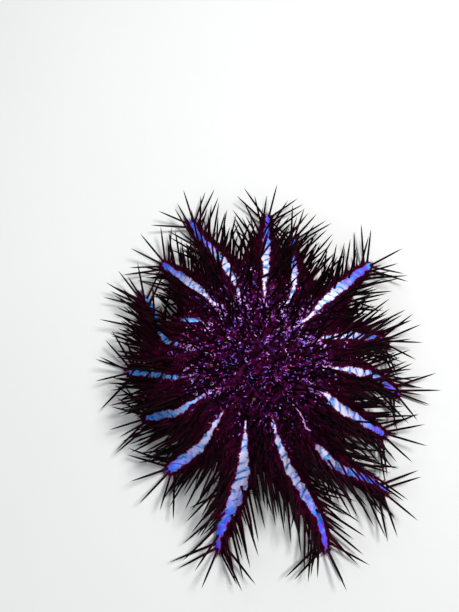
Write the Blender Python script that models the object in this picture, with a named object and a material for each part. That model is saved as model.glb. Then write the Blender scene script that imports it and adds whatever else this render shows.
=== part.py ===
"""Crown of thorns starfish, life size, domed as it lies draped over a rounded rock.

The disc is raised and its sixteen arms slope down to the floor at z = 0, where each rests on
two small flats beside the groove under it. Metres, +Z up, +Y towards the far arms.
"""

import math
import random

import bmesh
import bpy
from mathutils import Matrix, Vector
from mathutils.bvhtree import BVHTree

# Layout in plan. The arms leave the disc at equal angles, turning clockwise from the first.
DISC_CENTRE = Vector((-0.0162, 0.0049, 0.0))
FIRST_AZIMUTH = 105.0
ARM_STEP = 22.5
# For each arm: how far its tip is from the disc's centre, the degrees its tip has swung, how far it
# bows aside two thirds of the way out, and how high the tip is held. Only the short one, a
# regrowing arm, doesn't reach the floor.
ARMS = (
    (0.181, 7, 0.003, 0.0),
    (0.177, 0.5, 0.0, 0.0),
    (0.157, 11.5, 0.006, 0.0),
    (0.180, 2.5, 0.0025, 0.0),
    (0.152, -7, 0.0045, 0.0),
    (0.160, -5, 0.008, 0.0),
    (0.158, 2, 0.0035, 0.0),
    (0.187, 9.5, 0.0015, 0.0),
    (0.196, 6, 0.011, 0.0),
    (0.186, -3, -0.001, 0.0),
    (0.140, -9.5, -0.0025, 0.0),
    (0.128, -13, -0.0035, 0.0),
    (0.134, -12, -0.008, 0.0),
    (0.146, -26.5, -0.006, 0.0),
    (0.095, 0, 0.0, 0.028),
    (0.155, 3.5, -0.001, 0.0),
)
HALF_WEDGE = math.tan(math.radians(ARM_STEP / 2))

# Disc
DISC_APOTHEM = 0.062
DISC_TOP = 0.090
RIM_TOP = 0.080
CENTRE_SOLE = 0.056
RIM_SOLE = 0.048
MOUTH_RADIUS = 0.011
MOUTH_DEPTH = 0.008

# Arms
JOINT_GAP = 0.0003
# These distances past the disc's rim shrink with an arm shorter than this past the rim.
FULL_LENGTH = 0.070
BEND_FROM = 0.016
FREE_FROM = 0.022
TAPER_FROM = 0.032
FREE_TO = 0.050
# An arm is kept to its wedge only a little past where its neighbour has come free.
JOIN_SPARE = 0.014
# Scales the bow's curve so that its greatest value is 1.
BOW_SCALE = 6.75
ROOT_HALF_WIDTH = 0.0200
TIP_HALF_WIDTH = 0.0042
TIP_THICKNESS = 0.0075
TIP_ROUNDING = 0.0035
WIDTH_POWER = 0.85
THICKNESS_POWER = 0.7
SLOPE_THICKENING = 0.6
FLANK_FALL = 0.42
FLANK_POWER = 1.7
ROOT_SLOPE = -0.28
REST_FROM = 0.78
VALLEY_DROP = 0.004
GROOVE_DEPTH = 0.005
ARM_STATIONS = (0.0, 0.14, 0.27, 0.39, 0.51, 0.63, 0.75, 0.87)

# Spines
SPINE_SIDES = 4
SPINE_RADIUS = 0.0015
SPINE_WAIST = 0.55
SPINE_WAIST_RADIUS = 0.0010
SHORT_SPINE_SHARE = 0.65
SPINE_SINK = 0.004
SPINE_SPACING = 0.018
ROOT_ROOM = 0.003
TIP_SPINES_BACK = 0.005
# Rows of spines, by their share of the arm's half width.
SIDE_ROW = 0.97
TOP_ROW = 0.60
INNER_ROW = 0.34
# The fan at an arm's tip: share across, lean outwards and lean up.
TIP_FAN = ((-0.8, -0.75, 0.2), (-0.3, -0.2, 0.45), (0.3, 0.2, 0.2), (0.8, 0.75, 0.45))
# Rings of spines on the disc: radius and count.
DISC_RINGS = ((0.007, 4), (0.019, 9), (0.032, 15), (0.045, 20), (0.055, 16))
SPINE_CLEARANCE = 0.0006
PROBE_STEP = 0.0015
OWN_CLEAR_FROM = 0.010
INNERMOST = 0.03
FLOOR_CLEARANCE = 0.0012
SIDE_SPINE = 0.042
TOP_SPINE = 0.036
DISC_SPINE = 0.024
ORAL_SPINE = 0.011
SEED = 17
SMOOTH_UNDER = 50

SKIN_COLOUR = (0.055, 0.006, 0.030, 1.0)
DISC_COLOUR = (0.085, 0.012, 0.070, 1.0)


def smooth(t):
    """Eases from 0 to 1 as t goes from 0 to 1."""
    t = min(1.0, max(0.0, t))
    return t * t * (3 - 2 * t)


def mix(a, b, t):
    return a + (b - a) * t


def arm_size(number):
    """How long an arm's free part is, as a share of the length at which it has its full shape."""
    return min(1.0, (ARMS[number][0] - DISC_APOTHEM) / FULL_LENGTH)


class Arm:
    """One arm: its centreline in plan, its top and sole, and its half width, along its root's axis."""

    def __init__(self, number):
        reach, swing, self.bow, self.lift = ARMS[number]
        self.number = number
        self.name = f"arm_{number + 1:02d}"
        self.azimuth = math.radians(FIRST_AZIMUTH - ARM_STEP * number)
        self.tip_x = reach * math.cos(math.radians(swing))
        self.tip_y = reach * math.sin(math.radians(swing))
        size = arm_size(number)
        self.bend_from = DISC_APOTHEM + BEND_FROM * size
        self.free_from = DISC_APOTHEM + FREE_FROM * size
        self.taper_from = DISC_APOTHEM + TAPER_FROM * size
        self.free_to = DISC_APOTHEM + FREE_TO * size
        # How far out the arm is kept to its wedge, on its left and on its right.
        self.joined_left = self.joined_to(arm_size(number - 1))
        self.joined_right = self.joined_to(arm_size((number + 1) % len(ARMS)))

    def joined_to(self, neighbour_size):
        return min(self.free_to, DISC_APOTHEM + FREE_TO * neighbour_size + JOIN_SPARE)

    def share(self, x):
        """How far along the free length x lies: 0 at the disc, 1 at the tip."""
        return (x - DISC_APOTHEM) / (self.tip_x - DISC_APOTHEM)

    def side_shift(self, x):
        bend = max(0.0, x - self.bend_from) / (self.tip_x - self.bend_from)
        return bend * bend * (self.tip_y + BOW_SCALE * self.bow * (1 - bend))

    def turn(self, x):
        """The angle between the centreline and the root's axis."""
        step = 0.0005
        return math.atan2(self.side_shift(x + step) - self.side_shift(x - step), 2 * step)

    def half_width(self, x):
        along = max(0.0, x - self.taper_from) / (self.tip_x - self.taper_from)
        return mix(TIP_HALF_WIDTH, ROOT_HALF_WIDTH, (1 - min(1.0, along)) ** WIDTH_POWER)

    def freedom(self, x):
        """0 where the arm is joined to its neighbours, 1 where it stands free."""
        return smooth((x - self.free_from) / (self.free_to - self.free_from))

    def sole(self, x):
        """The underside: it leaves the disc with the dome's slope and lands level on the floor."""
        t = min(1.0, max(0.0, self.share(x) / REST_FROM))
        run = REST_FROM * (self.tip_x - DISC_APOTHEM)
        return mix(RIM_SOLE, self.lift, smooth(t)) + ROOT_SLOPE * run * t * (1 - t) ** 2

    def top(self, x):
        step = 0.0005
        slope = (self.sole(x + step) - self.sole(x - step)) / (2 * step)
        left = (1 - min(1.0, max(0.0, self.share(x)))) ** THICKNESS_POWER
        thickness = mix(TIP_THICKNESS, RIM_TOP - RIM_SOLE, left)
        return self.sole(x) + thickness * math.sqrt(1 + SLOPE_THICKENING * slope * slope)

    def place(self, x, y, z):
        """A point given along and across the root's axis, in the part's own frame."""
        flat = Matrix.Rotation(self.azimuth, 3, "Z") @ Vector((x, y, z))
        return DISC_CENTRE + flat

    def surface(self, x, across):
        """The upper surface at x, at a share of the half width across, in the root's frame."""
        free = self.freedom(x)
        top, sole = self.top(x), self.sole(x)
        fall = mix(VALLEY_DROP, FLANK_FALL * (top - sole), free) * abs(across) ** FLANK_POWER
        return self.point_across(x, across * self.half_width(x), top - fall, ROOT_ROOM)

    def point_across(self, x, offset, z, room=JOINT_GAP / 2):
        """A point offset square to the centreline, kept off the next arm's wedge where they join."""
        turn = self.turn(x)
        px = x - offset * math.sin(turn)
        py = self.side_shift(x) + offset * math.cos(turn)
        limit = px * HALF_WEDGE - room / math.cos(math.radians(ARM_STEP / 2))
        if x < self.joined_left:
            py = min(limit, py)
        if x < self.joined_right:
            py = max(-limit, py)
        return Vector((px, py, z))

    def section(self, x, shrink=1.0):
        """The outline of the arm at x, as points round it from the ridge, in the root's frame."""
        free = self.freedom(x)
        half = self.half_width(x) * shrink
        sole = self.sole(x)
        top = mix(sole, self.top(x), shrink)
        high = top - sole
        groove = min(GROOVE_DEPTH, 0.35 * high)
        # Each row is a share of the half width and a height.
        side = (
            (0.50, top - mix(0.0012, 0.13 * high, free)),
            (mix(1.0, 0.84, free), top - mix(VALLEY_DROP, 0.40 * high, free)),
            (1.0, top - mix(0.50, 0.64, free) * high),
            (mix(1.0, 0.86, free), sole + mix(0.0, 0.12, free) * high),
            (0.62, sole),
            (0.30, sole),
        )
        left = [self.point_across(x, across * half, z) for across, z in side]
        right = [self.point_across(x, -across * half, z) for across, z in side]
        ridge = self.point_across(x, 0.0, top)
        channel = self.point_across(x, 0.0, sole + groove)
        return [ridge, *left, channel, *reversed(right)]


def material(name, colour, roughness):
    made = bpy.data.materials.new(name)
    made.use_nodes = True
    shader = made.node_tree.nodes["Principled BSDF"]
    shader.inputs["Base Color"].default_value = colour
    shader.inputs["Roughness"].default_value = roughness
    shader.inputs["Metallic"].default_value = 0.0
    return made


def new_object(name, bm, collection, finish=None):
    """A mesh object from a bmesh, with its faces pointing out."""
    bmesh.ops.recalc_face_normals(bm, faces=bm.faces)
    mesh = bpy.data.meshes.new(name)
    bm.to_mesh(mesh)
    bm.free()
    obj = bpy.data.objects.new(name, mesh)
    collection.objects.link(obj)
    if finish:
        mesh.materials.append(finish)
    return obj


def bridge(bm, first, second):
    """Quads between two closed rings of as many vertices."""
    count = len(first)
    for i in range(count):
        j = (i + 1) % count
        bm.faces.new((first[i], first[j], second[j], second[i]))


def close_end(bm, ring):
    """A fan of faces over a section, from a point between its ridge and its channel."""
    middle = bm.verts.new((ring[0].co + ring[len(ring) // 2].co) / 2)
    for i, vertex in enumerate(ring):
        bm.faces.new((vertex, ring[(i + 1) % len(ring)], middle))


def arm_body(arm):
    """The arm's flesh as a loft of sections."""
    bm = bmesh.new()
    root = DISC_APOTHEM + JOINT_GAP / 2
    end = arm.tip_x - TIP_ROUNDING
    places = [(mix(root, end, station), 1.0) for station in ARM_STATIONS]
    places += [(end, 0.92), (arm.tip_x, 0.45)]
    rings = []
    for x, shrink in places:
        points = arm.section(x, shrink)
        rings.append([bm.verts.new(arm.place(*p)) for p in points])
    for first, second in zip(rings, rings[1:]):
        bridge(bm, first, second)
    close_end(bm, rings[0])
    close_end(bm, rings[-1])
    bmesh.ops.triangulate(bm, faces=bm.faces)
    return bm


def disc_top(share):
    """Height of the disc's upper surface, at a share of the way out to its rim."""
    return mix(DISC_TOP, RIM_TOP, share * share)


def disc_sole(share):
    """Height of the disc's underside, which rises into the mouth."""
    mouth = smooth(1 - share * DISC_APOTHEM / MOUTH_RADIUS + 0.4)
    return mix(CENTRE_SOLE, RIM_SOLE, share * share) + MOUTH_DEPTH * mouth


def disc_ring(bm, share, across, height):
    """A ring of the sixteen-sided disc. across lists shares of a wedge's half width."""
    ring = []
    x = (DISC_APOTHEM - JOINT_GAP / 2) * share
    for number in range(len(ARMS)):
        arm = Arm(number)
        for side in across:
            y = -side * x * HALF_WEDGE
            ring.append(bm.verts.new(arm.place(x, y, height(share, side))))
    return ring


def disc_body():
    def upper(share, side):
        valley = VALLEY_DROP if abs(side) == 1 else (0.0012 if side else 0.0)
        return disc_top(share) - valley * share**3

    def lower(share, side):
        groove = GROOVE_DEPTH * smooth(share * 1.6) if side == 0 else 0.0
        return disc_sole(share) + groove

    bm = bmesh.new()
    top_rings = [disc_ring(bm, s, (-1, -0.5, 0, 0.5), upper) for s in (0.22, 0.42, 0.62, 0.82, 1)]
    sole_rings = [disc_ring(bm, s, (-1, -0.3, 0, 0.3), lower) for s in (1, 0.70, 0.40, 0.20)]
    rings = top_rings + sole_rings
    for first, second in zip(rings, rings[1:]):
        bridge(bm, first, second)
    crown = bm.verts.new(DISC_CENTRE + Vector((0, 0, DISC_TOP)))
    throat = bm.verts.new(DISC_CENTRE + Vector((0, 0, disc_sole(0))))
    for ring, hub in ((rings[0], crown), (rings[-1], throat)):
        for i, vertex in enumerate(ring):
            bm.faces.new((vertex, ring[(i + 1) % len(ring)], hub))
    bmesh.ops.triangulate(bm, faces=bm.faces)
    return bm


class Spines:
    """Sets spines one after another, each turned or shortened until it is clear of all the rest."""

    def __init__(self, arms, bodies):
        self.random = random.Random(SEED)
        self.arms = arms
        graph = bpy.context.evaluated_depsgraph_get()
        self.trees = {body.name: BVHTree.FromObject(body, graph) for body in bodies}
        self.placed = []

    def blocked(self, root, tip, owner):
        """Whether a spine would touch the floor, a body or another spine, past its own root."""
        if tip.z < FLOOR_CLEARANCE:
            return True
        length = (tip - root).length
        way = (tip - root) / length
        for step in range(round((SPINE_SINK + length) / PROBE_STEP) + 1):
            out = min(length, step * PROBE_STEP - SPINE_SINK)
            for name, tree in self.trees.items():
                if name == owner and out < OWN_CLEAR_FROM:
                    continue
                reach = SPINE_RADIUS + (0.0 if name == owner else SPINE_CLEARANCE)
                if near_body(tree, root + way * out, reach):
                    return True
        return any(
            segment_gap(root, tip, other_root, other_tip) < 2 * SPINE_RADIUS + SPINE_CLEARANCE
            for other_root, other_tip in self.placed
        )

    def settle(self, root, way, length, owner):
        """The tip of the first clear spine near the one that is wanted, or None."""
        across = way.orthogonal().normalized()
        for shorter in (1.0, 0.85, 0.7):
            for lean in (0, 8, 16, 26, 38):
                for spin in range(0, 360, 60) if lean else (0,):
                    axis = across.copy()
                    axis.rotate(Matrix.Rotation(math.radians(spin), 3, way))
                    tried = Matrix.Rotation(math.radians(lean), 3, axis) @ way
                    tip = root + tried * length * shorter
                    if not self.blocked(root, tip, owner):
                        self.placed.append((root.copy(), tip))
                        return tip
        return None

    def vary(self, way, degrees):
        """The direction turned a little at random."""
        axis = Vector([self.random.uniform(-1, 1) for _ in range(3)]).normalized()
        angle = math.radians(self.random.uniform(-degrees, degrees))
        return (Matrix.Rotation(angle, 3, axis) @ way).normalized()

    def on_arm(self, arm):
        """Where an arm's spines stand: each a root and a tip."""
        found = []
        for x, across, out, up, length in self.arm_plan(arm):
            root = arm.place(*arm.surface(x, across))
            turn = arm.azimuth + arm.turn(x)
            ahead = Vector((math.cos(turn), math.sin(turn), 0.0))
            aside = Vector((-math.sin(turn), math.cos(turn), 0.0))
            slope = (arm.top(x + 0.002) - arm.top(x - 0.002)) / 0.004
            normal = (Vector((0, 0, 1)) - ahead * slope).normalized()
            forward = mix(0.25, 0.55, max(0.0, arm.share(x)))
            way = aside * out + normal * up + ahead * forward
            way = self.vary(way.normalized(), 7)
            stretch = self.random.uniform(0.88, 1.06)
            tip = self.settle(root, way, length * stretch, arm.name)
            if tip:
                found.append((root, tip))
        return found

    def arm_plan(self, arm):
        """Rows along the arm: place, share across, lean outwards, lean up, and length."""
        free = arm.tip_x - DISC_APOTHEM
        rows = []
        stations = max(3, round(free / SPINE_SPACING))
        for side in (-1, 1):
            for i in range(stations):
                share = (i + 0.6) / stations
                x = DISC_APOTHEM + free * mix(0.22, 0.97, share)
                rows.append((x, SIDE_ROW * side, side, mix(0.75, 0.22, share), SIDE_SPINE))
            for i in range(stations):
                share = (i + 0.2) / stations
                x = DISC_APOTHEM + free * mix(0.06, 0.97, share)
                rows.append((x, TOP_ROW * side, 0.55 * side, 1.0, TOP_SPINE))
            for i in range(stations // 2):
                share = (i + 0.5) / (stations // 2)
                x = DISC_APOTHEM + free * mix(0.08, 0.8, share)
                rows.append((x, INNER_ROW * side, 0.20 * side, 1.1, TOP_SPINE * 0.92))
        for across, out, up in TIP_FAN:
            rows.append((arm.tip_x - TIP_SPINES_BACK, across, out, up, SIDE_SPINE * 0.9))
        return rows

    def on_disc(self):
        """Rings of shorter spines that lean outwards more towards the rim."""
        found = []
        for radius, count in DISC_RINGS:
            for i in range(count):
                angle = math.tau * (i + 0.35 * (count % 3)) / count
                angle += self.random.uniform(-0.08, 0.08)
                out = Vector((math.cos(angle), math.sin(angle), 0.0))
                share = radius / DISC_APOTHEM
                root = DISC_CENTRE + out * radius + Vector((0, 0, disc_top(share) - 0.001))
                way = self.vary((out * 0.5 * share + Vector((0, 0, 1))).normalized(), 9)
                length = mix(DISC_SPINE, TOP_SPINE, share**2) * self.random.uniform(0.85, 1.1)
                tip = self.settle(root, way, length, "disc")
                if tip:
                    found.append((root, tip))
        return found

    def round_mouth(self):
        """One short spine on each side of the mouth's edge, pointing in and down."""
        found = []
        for number in range(len(ARMS)):
            arm = self.arms[number]
            x = MOUTH_RADIUS * 1.45
            root = arm.place(x, x * HALF_WEDGE, disc_sole(x / DISC_APOTHEM) + 0.0005)
            tip = arm.place(x * 0.55, x * 0.55 * HALF_WEDGE, root.z - ORAL_SPINE)
            found.append((root, tip))
        return found


def near_body(tree, point, reach):
    """Whether a point is inside a closed body, or within reach of its surface."""
    spot, normal, _, away = tree.find_nearest(point, INNERMOST)
    return spot is not None and (away < reach or (point - spot).dot(normal) < 0)


def segment_gap(a, b, c, d):
    """The shortest distance between the segments ab and cd."""
    u, v, w = b - a, d - c, a - c
    uu, uv, vv = u.dot(u), u.dot(v), v.dot(v)
    uw, vw = u.dot(w), v.dot(w)
    spread = uu * vv - uv * uv
    s = 0.0 if spread < 1e-14 else min(1.0, max(0.0, (uv * vw - vv * uw) / spread))
    t = (uv * s + vw) / vv
    if t < 0:
        t, s = 0.0, min(1.0, max(0.0, -uw / uu))
    elif t > 1:
        t, s = 1.0, min(1.0, max(0.0, (uv - uw) / uu))
    return (w + u * s - v * t).length


def spine_object(name, root, tip, collection):
    """A slim spine, its foot sunk into the flesh: a tapering shaft, its end drawn out to a point."""
    way = (tip - root).normalized()
    length = (tip - root).length
    thin = min(1.0, max(SHORT_SPINE_SHARE, length / TOP_SPINE))
    shaft = SPINE_SINK + length * SPINE_WAIST
    bm = bmesh.new()
    bmesh.ops.create_cone(
        bm,
        cap_ends=True,
        segments=SPINE_SIDES,
        radius1=SPINE_RADIUS * thin,
        radius2=SPINE_WAIST_RADIUS * thin,
        depth=shaft,
    )
    end = max(bm.faces, key=lambda face: face.calc_center_median().z)
    point = bmesh.ops.poke(bm, faces=[end])["verts"][0]
    point.co.z += length * (1 - SPINE_WAIST)
    aim = way.to_track_quat("Z", "Y").to_matrix().to_4x4()
    middle = root + way * (shaft / 2 - SPINE_SINK)
    bmesh.ops.transform(bm, matrix=Matrix.Translation(middle) @ aim, verts=bm.verts)
    bmesh.ops.triangulate(bm, faces=bm.faces)
    return new_object(name, bm, collection)


def largest_surface(mesh):
    """Drops every closed surface of the mesh but the one with the most faces."""
    bm = bmesh.new()
    bm.from_mesh(mesh)
    left = set(bm.verts)
    shells = []
    while left:
        shell, edge = set(), [left.pop()]
        while edge:
            vertex = edge.pop()
            shell.add(vertex)
            near = {e.other_vert(vertex) for e in vertex.link_edges} & left
            left -= near
            edge.extend(near)
        shells.append(shell)
    shells.sort(key=len)
    for shell in shells[:-1]:
        bmesh.ops.delete(bm, geom=list(shell), context="VERTS")
    bm.to_mesh(mesh)
    bm.free()


def fuse(body, ends):
    """Joins spines to a body by one union on a collection, and leaves one closed surface."""
    pieces = bpy.data.collections.new(body.name + "_spines")
    bpy.context.scene.collection.children.link(pieces)
    for i, (root, tip) in enumerate(ends):
        spine_object(f"{body.name}_spine_{i}", root, tip, pieces)
    union = body.modifiers.new("spines", "BOOLEAN")
    union.operation = "UNION"
    union.operand_type = "COLLECTION"
    union.collection = pieces
    union.solver = "EXACT"
    graph = bpy.context.evaluated_depsgraph_get()
    joined = bpy.data.meshes.new_from_object(body.evaluated_get(graph))
    body.modifiers.remove(union)
    body.data = joined
    for piece in list(pieces.objects):
        bpy.data.objects.remove(piece)
    bpy.data.collections.remove(pieces)
    largest_surface(body.data)
    body.data.shade_smooth()
    body.data.set_sharp_from_angle(angle=math.radians(SMOOTH_UNDER))


def build():
    for obj in list(bpy.data.objects):
        bpy.data.objects.remove(obj)
    starfish = bpy.data.collections.new("crown_of_thorns_starfish")
    bpy.context.scene.collection.children.link(starfish)
    skin = material("arm_skin", SKIN_COLOUR, 0.55)
    disc_skin = material("disc_skin", DISC_COLOUR, 0.55)
    arms = [Arm(number) for number in range(len(ARMS))]
    disc = new_object("disc", disc_body(), starfish, disc_skin)
    flesh = [new_object(arm.name, arm_body(arm), starfish, skin) for arm in arms]
    spines = Spines(arms, [disc, *flesh])
    fuse(disc, spines.on_disc() + spines.round_mouth())
    for arm, body in zip(arms, flesh):
        fuse(body, spines.on_arm(arm))


build()
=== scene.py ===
"""Looks of the crown of thorns starfish: skin, spines, papulae, bare stripes and the underside.

The arms' dimensions are those of the solids, so every piece lies where its solid is. Metres.
"""

import math

import bpy
import numpy as np
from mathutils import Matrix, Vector
from mathutils.bvhtree import BVHTree


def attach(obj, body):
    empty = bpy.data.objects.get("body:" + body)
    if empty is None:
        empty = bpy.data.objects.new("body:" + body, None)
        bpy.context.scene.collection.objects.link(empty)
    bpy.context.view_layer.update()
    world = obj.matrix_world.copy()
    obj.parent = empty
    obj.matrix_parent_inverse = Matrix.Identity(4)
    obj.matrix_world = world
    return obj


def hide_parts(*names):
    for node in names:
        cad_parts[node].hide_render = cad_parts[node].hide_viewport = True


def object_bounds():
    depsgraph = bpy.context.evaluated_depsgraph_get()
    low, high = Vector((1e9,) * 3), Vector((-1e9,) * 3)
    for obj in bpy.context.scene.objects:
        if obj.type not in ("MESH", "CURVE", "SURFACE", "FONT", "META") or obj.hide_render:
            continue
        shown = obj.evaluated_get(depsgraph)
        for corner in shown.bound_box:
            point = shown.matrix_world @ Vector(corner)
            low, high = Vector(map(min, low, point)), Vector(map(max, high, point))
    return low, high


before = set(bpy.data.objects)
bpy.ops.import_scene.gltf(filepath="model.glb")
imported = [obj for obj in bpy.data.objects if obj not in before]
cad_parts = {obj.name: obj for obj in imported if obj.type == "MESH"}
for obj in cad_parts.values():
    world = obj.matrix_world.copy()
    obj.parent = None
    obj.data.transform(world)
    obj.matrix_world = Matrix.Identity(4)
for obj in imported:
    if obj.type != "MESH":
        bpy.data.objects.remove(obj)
CAD_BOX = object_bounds()

# The body's dimensions, as in the solids.
DISC_CENTRE = np.array((-0.0162, 0.0049, 0.0))
FIRST_AZIMUTH = 105.0
ARM_STEP = 22.5
# For each arm: how far its tip is from the disc's centre, the degrees its tip has swung, how far it
# bows aside, and how high the tip is held.
ARMS = (
    (0.181, 7, 0.003, 0.0),
    (0.177, 0.5, 0.0, 0.0),
    (0.157, 11.5, 0.006, 0.0),
    (0.180, 2.5, 0.0025, 0.0),
    (0.152, -7, 0.0045, 0.0),
    (0.160, -5, 0.008, 0.0),
    (0.158, 2, 0.0035, 0.0),
    (0.187, 9.5, 0.0015, 0.0),
    (0.196, 6, 0.011, 0.0),
    (0.186, -3, -0.001, 0.0),
    (0.140, -9.5, -0.0025, 0.0),
    (0.128, -13, -0.0035, 0.0),
    (0.134, -12, -0.008, 0.0),
    (0.146, -26.5, -0.006, 0.0),
    (0.095, 0, 0.0, 0.028),
    (0.155, 3.5, -0.001, 0.0),
)
HALF_WEDGE = math.tan(math.radians(ARM_STEP / 2))
DISC_APOTHEM = 0.062
DISC_TOP = 0.090
RIM_TOP = 0.080
CENTRE_SOLE = 0.056
RIM_SOLE = 0.048
MOUTH_RADIUS = 0.011
MOUTH_DEPTH = 0.008
FULL_LENGTH = 0.070
BEND_FROM = 0.016
FREE_FROM = 0.022
TAPER_FROM = 0.032
FREE_TO = 0.050
JOIN_SPARE = 0.014
BOW_SCALE = 6.75
ROOT_HALF_WIDTH = 0.0200
TIP_HALF_WIDTH = 0.0042
TIP_THICKNESS = 0.0075
TIP_ROUNDING = 0.0035
ROOT_SLOPE = -0.28
REST_FROM = 0.78
VALLEY_DROP = 0.004
GROOVE_DEPTH = 0.005
GROOVE_SHARE = 0.35
SPINE_WAIST = 0.55

# Bare stripes. For each arm's stripe: where it starts, its greatest half width, how far out that
# lies as a share of the stripe's length, how far the stripe lies to the left of the midline near
# the disc, half way and near the tip, and how far its colour goes from violet to a cool blue, which
# is in part the stripe's own blue and, on the arms on the shaded side, painted shade.
STRIPES = (
    (0.058, 0.0043, 0.35, -0.0018, -0.0004, 0.0022, 0.1),
    (0.056, 0.0041, 0.45, -0.0025, -0.0012, 0.0003, 0.1),
    (0.056, 0.0035, 0.48, -0.0030, 0.0022, -0.0005, 0.2),
    (0.052, 0.0051, 0.55, -0.0022, 0.0022, -0.0005, 0.1),
    (0.056, 0.0039, 0.50, -0.0010, -0.0012, 0.0008, 0.7),
    (0.070, 0.0041, 0.42, 0.0000, 0.0010, -0.0010, 0.6),
    (0.062, 0.0043, 0.32, 0.0026, 0.0004, -0.0004, 0.6),
    (0.056, 0.0042, 0.55, 0.0004, -0.0044, 0.0040, 0.2),
    (0.052, 0.0044, 0.45, 0.0002, 0.0016, 0.0008, 0.1),
    (0.056, 0.0068, 0.48, -0.0003, 0.0038, -0.0046, 0.2),
    (0.055, 0.0052, 0.70, -0.0004, -0.0008, 0.0000, 0.75),
    (0.055, 0.0038, 0.60, 0.0002, -0.0028, 0.0004, 0.87),
    (0.062, 0.0034, 0.55, 0.0014, -0.0044, 0.0018, 1.0),
    (0.066, 0.0030, 0.35, -0.0020, -0.0058, -0.0036, 1.0),
    (0.056, 0.0022, 0.35, -0.0030, 0.0010, 0.0000, 1.0),
    (0.055, 0.0048, 0.50, -0.0010, 0.0012, 0.0002, 0.6),
)
STRIPE_PAST_TIP = 0.001
STRIPE_END = 1.03
THINNEST_STRIPE = 0.0009
NO_STRIPE = -0.002
# The arm whose stripe is only a thread near the disc, and the one whose stripe fades out.
BROKEN_STRIPE = 7
THREAD_END = 0.28
THREAD_HEIGHT = 0.0015
THREAD_HALF_WIDTH = 0.0006
THREAD_BIT = 0.0024
THREAD_SWAY = 0.0007
HIDDEN_STRIPE = 14
# Arms whose stripe is crossed by spines from one side: how far out that starts, and whether they
# lean to the left, 1, or to the right, -1.
CROSSED_STRIPES = {
    0: (0.30, -1),
    1: (0.30, -1),
    2: (0.60, -1),
    4: (0.40, 1),
    5: (0.60, 1),
    7: (0.56, -1),
}
UNCROSSED = (2.0, 1)
# Arms whose stripe is cut into slanting pieces, and how far along it that starts.
TORN_STRIPES = {4: 0.04, 5: 0.42, 11: 0.80, 12: 0.08, 13: 0.10}
UNTORN = 9.0

# Skin
SKIN_DEPTH = 0.0007
SKIN_VALLEY = VALLEY_DROP * 0.8
# How far the bodies that the skin is joined from run into each other: arm into arm, arm into
# disc, and disc into arm.
SKIN_OVERLAP = 0.0012
ROOT_OVERLAP = 0.006
DISC_OVERLAP = 0.001
TIP_SHORT = 0.0005
SKIN_GAP = 0.0002
VOXEL = 0.0016
STATIONS = 46
TIP_RINGS = 6
DISC_RINGS = 12
DISC_SPOKES = 160
STREAK_SQUEEZE = 0.16
ARM_OFFSET = 0.3
MOUTH_FOLDS = 32
SWELLING = 0.0006
STRIPE_SINK = 0.0003
FOLD_HEIGHT = 0.0005

# Spines of the solids: each ends in a point over this many corners, which is at least so long and
# whose corners are at most so far from their middle.
SPINE_CORNERS = 4
LEAST_POINT = 0.004
WIDEST_WAIST = 0.0016

# Coat
SPINE_RADIUS = 0.00112
SPINE_SPACING = 0.0069
DISC_SPINE_SPACING = 0.0060
TIP_SPINE_SPACING = 0.0047
ARM_SPINE = 0.037
TIP_SPINE = 0.034
DISC_SPINE = 0.018
LOWER_SPINE = 0.013
# How far up a spine its room is measured from: to the other spines, and to the skin.
GAP_FROM = 0.002
HIT_FROM = 0.004
SPINE_ROOM = 0.0021
SPINE_SPOTS = 9000
# How much spines lean towards the photo's top on the disc's middle, and how much their ways differ.
DISC_LEAN = 0.34
SCATTER = 0.13
DISC_SCATTER = 0.24
# A spine that has no room, or less than its least share of the length wanted, tries other ways.
LEAN_TRIES = 5
LEAST_SHARE = 0.5
RETRY_SCATTER = 0.18
RETRY_LIFT = 0.05
BOX_GAP = 0.0002
COMB = 0.75
COMBED_SHARE = 0.6
FLOOR_ROOM = 0.0006
PAPULAE = 24000
PAPULA_HEIGHT = 0.0017
PAPULA_RADIUS = 0.00042
ROSETTE_RADIUS = 0.0025
FLECKS = 760
FLECK_LENGTH = 0.0022
FLECK_HALF_WIDTH = 0.00036
FLECK_SIDES = 6
BROAD_FLECKS = 0.16
BROADER = 1.7
ARC_POINTS = 7
# How far out the rows beside a groove begin, and how far from the tip they end.
FEET_FROM = 0.014
FURROW_FROM = 0.020
TIP_CLEAR = 0.003
FOOT_SPACING = 0.0033
FOOT_LENGTH = 0.0075
FOOT_RADIUS = 0.00062
FURROW_SPINE = 0.0040
OUTER_FURROW_SPINE = 0.0085
FURROW_RADIUS = 0.00062
UNDER_SPINES = 900
UNDER_SPINE = 0.0075
SHORTEST = 0.0011
MADREPORITES = 6
MADREPORITE_RADIUS = 0.0015
MADREPORITES_FROM = 0.030
MADREPORITES_TO = 0.047
EYE_RADIUS = 0.0008
LIP_RADIUS = 0.0036
LIP_THICKNESS = 0.0010
LIP_PUCKER = 0.25
LIP_SIDES = 10
LIP_STEPS = 96
COAT_GAP = 0.0001
MOST_TRIANGLES = 190000

# Map: each arm and its wedge of the disc have a cell, in rows of four.
CELLS = 4
CELL_MARGIN = 0.04
UNWRAP_LENGTH = 0.25
PATCH = 0.003

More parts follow.
